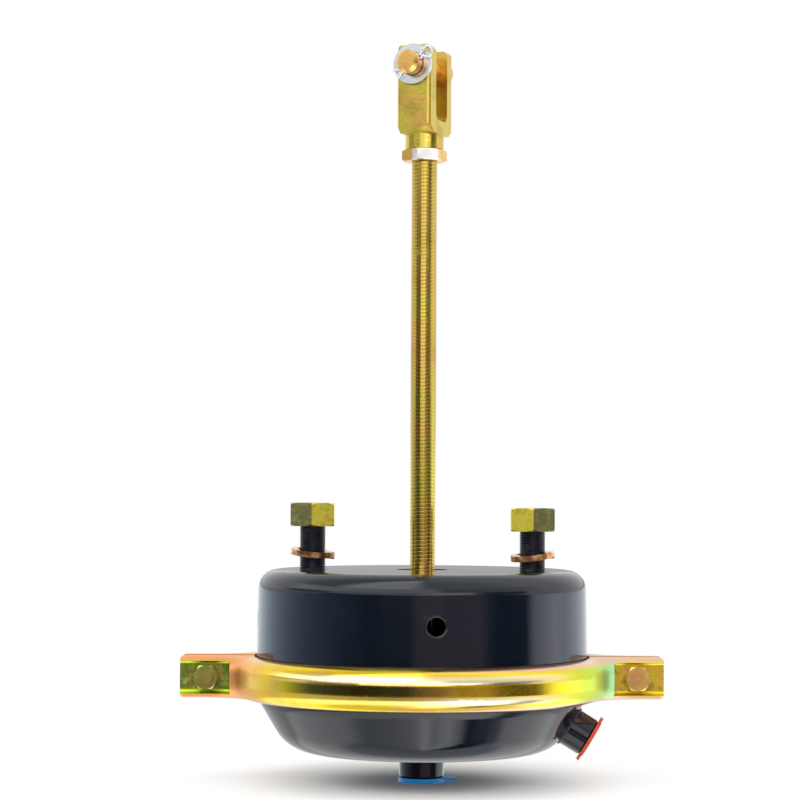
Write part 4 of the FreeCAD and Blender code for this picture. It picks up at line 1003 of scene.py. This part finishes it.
class CHAMBER_OT_nuts(bpy.types.Operator):
    """Plate the mounting nuts and the lock washers"""

    bl_idname = "chamber.nuts"
    bl_label = "Mounting nuts and lock washers"

    def execute(self, context):
        dress_nodes(mounting_nut_chromate, "mounting_nut_left", "mounting_nut_right")
        dress_nodes(copper_chromate, "lock_washer_left", "lock_washer_right")
        return {"FINISHED"}


class CHAMBER_OT_fork(bpy.types.Operator):
    """Plate the fork, its jam nut, pin, washer and split pin"""

    bl_idname = "chamber.fork"
    bl_label = "Fork and pin"

    def execute(self, context):
        dress_nodes(fork_chromate, "clevis")
        dress_nodes(jam_nut_chromate, "jam_nut")
        dress_nodes(pin_chromate, "clevis_pin")
        dress_nodes(bright_zinc, "clevis_washer", "cotter_pin")
        return {"FINISHED"}


class CHAMBER_OT_spring(bpy.types.Operator):
    """Wind the conical return spring"""

    bl_idname = "chamber.spring"
    bl_label = "Return spring"

    def execute(self, context):
        """A tube round a conical helix.

        At share s of the way its angle is 2 pi n s, its radius goes evenly from the foot's to the
        top's, and its height is s - 0.075 sin(2 pi s) of the range, which draws the end turns
        together.
        """
        samples, sides, gathering = 361, 12, 0.075
        shape = context.scene.chamber_shape
        wire = shape.wire_radius
        share = np.linspace(0, 1, samples)
        angle = 2 * np.pi * shape.spring_turns * share
        radius = shape.spring_foot + (shape.spring_top - shape.spring_foot) * share
        low, high = SPRING_LOW.z + wire, SPRING_HIGH.z - wire
        height = low + (high - low) * (share - gathering * np.sin(2 * np.pi * share))
        path = np.stack([radius * np.cos(angle), radius * np.sin(angle), height], axis=-1)
        points = tube(path, np.full_like(share, wire), sides)
        spring = grid_object("coiled_return_spring", points, sharp_angle=50)
        dress_piece(spring, spring_steel, "chamber", "spring_steel", "return_spring")
        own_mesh(spring)
        return {"FINISHED"}


class CHAMBER_OT_diaphragm(bpy.types.Operator):
    """Mould the diaphragm, which in the real chamber rolls with the push plate"""

    bl_idname = "chamber.diaphragm"
    bl_label = "Diaphragm"

    def execute(self, context):
        """A rounded outline turned about the Z axis.

        It goes from the middle over the floor's upper face and up the wall's inside to the bead,
        round the bead, and back down the wall's outside and under the floor.
        """
        inner_wall, outer_wall, bead_height = 0.0826, 0.0858, 0.0104
        inner_floor, inner_knee = 0.0688, -0.0692
        outer_floor, outer_knee = 0.0707, -0.0701
        bends = [0.016, 0.006, 0.0012, 0.0012, 0.0012, 0.0008, 0.008, 0.019]
        columns = 120
        foot, top, rim = DIAPHRAGM_LOW.z, DIAPHRAGM_HIGH.z, DIAPHRAGM_HIGH.x
        floor_top = foot + context.scene.chamber_shape.sheet
        bead_foot = top - bead_height
        outline = rounded([
            (0.0, floor_top), (inner_floor, floor_top), (inner_wall, inner_knee),
            (inner_wall, top), (rim, top), (rim, bead_foot), (outer_wall, bead_foot),
            (outer_wall, outer_knee), (outer_floor, foot), (0.0, foot),
        ], bends)
        points = turned(outline[:, :1], outline[:, 1:], columns)
        piece = grid_object("moulded_diaphragm", points, sharp_angle=50)
        piece.data.materials.append(made(rubber))
        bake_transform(piece)
        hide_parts("diaphragm")
        return {"FINISHED"}


class CHAMBER_OT_inside(bpy.types.Operator):
    """Finish the push plate, its hub, the backing plate and the rod seal"""

    bl_idname = "chamber.inside"
    bl_label = "Inner pieces"

    def execute(self, context):
        dress_nodes(grey_steel, "piston_plate", "piston_hub", "stud_backing_plate")
        dress_nodes(seal_rubber, "rod_seal")
        return {"FINISHED"}


class CHAMBER_OT_plugs(bpy.types.Operator):
    """Colour the two port plugs"""

    bl_idname = "chamber.plugs"
    bl_label = "Port plugs"

    def execute(self, context):
        dress_nodes(blue_plastic, "bottom_port_plug")
        dress_nodes(red_plastic, "side_port_plug")
        return {"FINISHED"}


class CHAMBER_OT_stage(bpy.types.Operator):
    """Set up the floor, the surroundings, the lamps and the camera"""

    bl_idname = "chamber.stage"
    bl_label = "Stage"

    def execute(self, context):
        stage = context.scene.chamber_stage
        self.floor(stage)
        self.surroundings(context.scene)
        for name, place, width, height, power in LAMPS:
            soft_box(name, place, width, height, power * stage.light_level)
        self.camera(context.scene, stage)
        context.scene.view_settings.view_transform = "Standard"
        return {"FINISHED"}

    def floor(self, stage):
        """A pale disc that keeps the object's shadow and runs out into pure white.

        Point (i, j) is at angle 2 pi j / columns, in the middle or on the rim. The disc is clear
        from below.
        """
        columns, gap, fade_start, fade_end = 96, 0.0002, 0.02, 0.17
        angle = full_turn(columns)
        radii = np.array([0.0, stage.floor_radius])[:, None]
        height = np.full((2, columns + 1), FLOOR_HEIGHT - gap)
        points = np.stack([radii * np.cos(angle), radii * np.sin(angle), height], axis=-1)
        floor = grid_object("floor", points)
        if floor.data.polygons[0].normal.z < 0:
            floor.data.flip_normals()
        material = bpy.data.materials.new("pale_floor")
        material.use_nodes = True
        graph = Graph(material.node_tree)
        x, y, _ = graph.axes(graph.place())
        rays = graph.add("ShaderNodeLightPath").outputs
        faded = graph.step(graph.from_axis(x, y), fade_start, fade_end)
        outer = graph.product(faded, rays["Is Camera Ray"])
        under = graph.add("ShaderNodeNewGeometry").outputs["Backfacing"]
        paper = graph.add("ShaderNodeBsdfDiffuse", {"Color": rgba(stage.floor)}).outputs[0]
        white = graph.add("ShaderNodeEmission", {"Color": (1, 1, 1, 1), "Strength": 1.0}).outputs[0]
        clear = graph.add("ShaderNodeBsdfTransparent").outputs[0]
        above = graph.add("ShaderNodeMixShader", {0: outer, 1: paper, 2: white}).outputs[0]
        surface = graph.add("ShaderNodeMixShader", {0: under, 1: above, 2: clear}).outputs[0]
        graph.add("ShaderNodeOutputMaterial", {"Surface": surface})
        floor.data.materials.append(material)
        floor.visible_glossy = False

    def surroundings(self, scene):
        """A white backdrop and a studio that stays put.

        The camera sees the backdrop all round, and metal sees it behind the object, above the
        table. Other light and reflections come from the studio, in zones one above the other,
        each with its own colours round the horizon.
        """
        world = bpy.data.worlds.new("studio")
        scene.world = world
        world.use_nodes = True
        graph = Graph(world.node_tree)
        x, y, z = graph.axes(graph.add("ShaderNodeTexCoord").outputs["Generated"])
        azimuth = graph.math("ARCTAN2", x, graph.math("MULTIPLY", y, -1.0))
        share = graph.math("ADD", graph.math("DIVIDE", azimuth, 2 * math.pi), 0.5)
        seen = self.ring(graph, share, SURROUNDINGS[0][2])
        for low, high, stops in SURROUNDINGS[1:]:
            seen = graph.mix(graph.step(z, low, high), seen, self.ring(graph, share, stops))
        seen = graph.vector("MULTIPLY", seen, (BRIGHTEST,) * 3)
        rays = graph.add("ShaderNodeLightPath").outputs
        mirrored = graph.math("MAXIMUM", rays["Is Glossy Ray"], rays["Is Transmission Ray"])
        behind = graph.product(graph.step(y, 0.1, 0.5), graph.step(z, 0.05, 0.12), mirrored)
        backdrop = graph.math("MAXIMUM", rays["Is Camera Ray"], behind)
        inputs = {"Color": graph.mix(backdrop, seen, (1, 1, 1, 1)), "Strength": 1.0}
        background = graph.add("ShaderNodeBackground", inputs).outputs[0]
        graph.add("ShaderNodeOutputWorld", {"Surface": background})

    def ring(self, graph, share, stops):
        """Colours round the horizon, from stops of azimuth in degrees and colour."""
        node = graph.add("ShaderNodeValToRGB", {"Fac": share})
        ramp = node.color_ramp
        while len(ramp.elements) < len(stops):
            ramp.elements.new(0.5)
        for element, (angle, tone) in zip(ramp.elements, stops):
            element.position = angle / 360 + 0.5
            element.color = (*tone, 1) if isinstance(tone, tuple) else (tone, tone, tone, 1)
        return node.outputs[0]

    def camera(self, scene, stage):
        """A camera low in front of the object, tilted up a little and its view shifted."""
        lens = bpy.data.cameras.new("camera")
        lens.lens = stage.lens
        lens.sensor_width = 36.0
        lens.shift_x = stage.shift_x
        lens.shift_y = stage.shift_y
        lens.clip_start = 0.01
        viewer = bpy.data.objects.new("camera", lens)
        scene.collection.objects.link(viewer)
        place = Matrix.Translation((0, -stage.camera_distance, stage.camera_height))
        upright = Matrix.Rotation(math.radians(90) + stage.tilt, 4, "X")
        viewer.matrix_world = place @ Matrix.Rotation(-stage.roll, 4, "Y") @ upright
        scene.camera = viewer


OPERATORS = (
    CHAMBER_OT_housings, CHAMBER_OT_welds, CHAMBER_OT_clamp, CHAMBER_OT_push_rod, CHAMBER_OT_studs,
    CHAMBER_OT_nuts, CHAMBER_OT_fork, CHAMBER_OT_spring, CHAMBER_OT_diaphragm, CHAMBER_OT_inside,
    CHAMBER_OT_plugs, CHAMBER_OT_stage,
)
GROUPS = {
    "chamber_shape": ChamberShape,
    "chamber_finish": ChamberFinish,
    "chamber_stage": ChamberStage,
}


class CHAMBER_PT_panel(bpy.types.Panel):
    """The chamber's settings and its pieces"""

    bl_idname = "CHAMBER_PT_panel"
    bl_label = "Air brake chamber"
    bl_space_type = "VIEW_3D"
    bl_region_type = "UI"
    bl_category = "Chamber"

    def draw(self, context):
        layout = self.layout
        layout.use_property_split = True
        for operator in OPERATORS:
            layout.operator(operator.bl_idname)
        for attribute, kind in GROUPS.items():
            box = layout.box()
            for name in kind.__annotations__:
                box.prop(getattr(context.scene, attribute), name)


def register():
    for kind in (*GROUPS.values(), *OPERATORS, CHAMBER_PT_panel):
        bpy.utils.register_class(kind)
    for attribute, kind in GROUPS.items():
        setattr(bpy.types.Scene, attribute, PointerProperty(type=kind))


def unregister():
    for attribute in GROUPS:
        delattr(bpy.types.Scene, attribute)
    for kind in reversed((*GROUPS.values(), *OPERATORS, CHAMBER_PT_panel)):
        bpy.utils.unregister_class(kind)


def main():
    register()
    for operator in OPERATORS:
        group_name, name = operator.bl_idname.split(".")
        getattr(getattr(bpy.ops, group_name), name)()


if __name__ == "__main__":
    main()
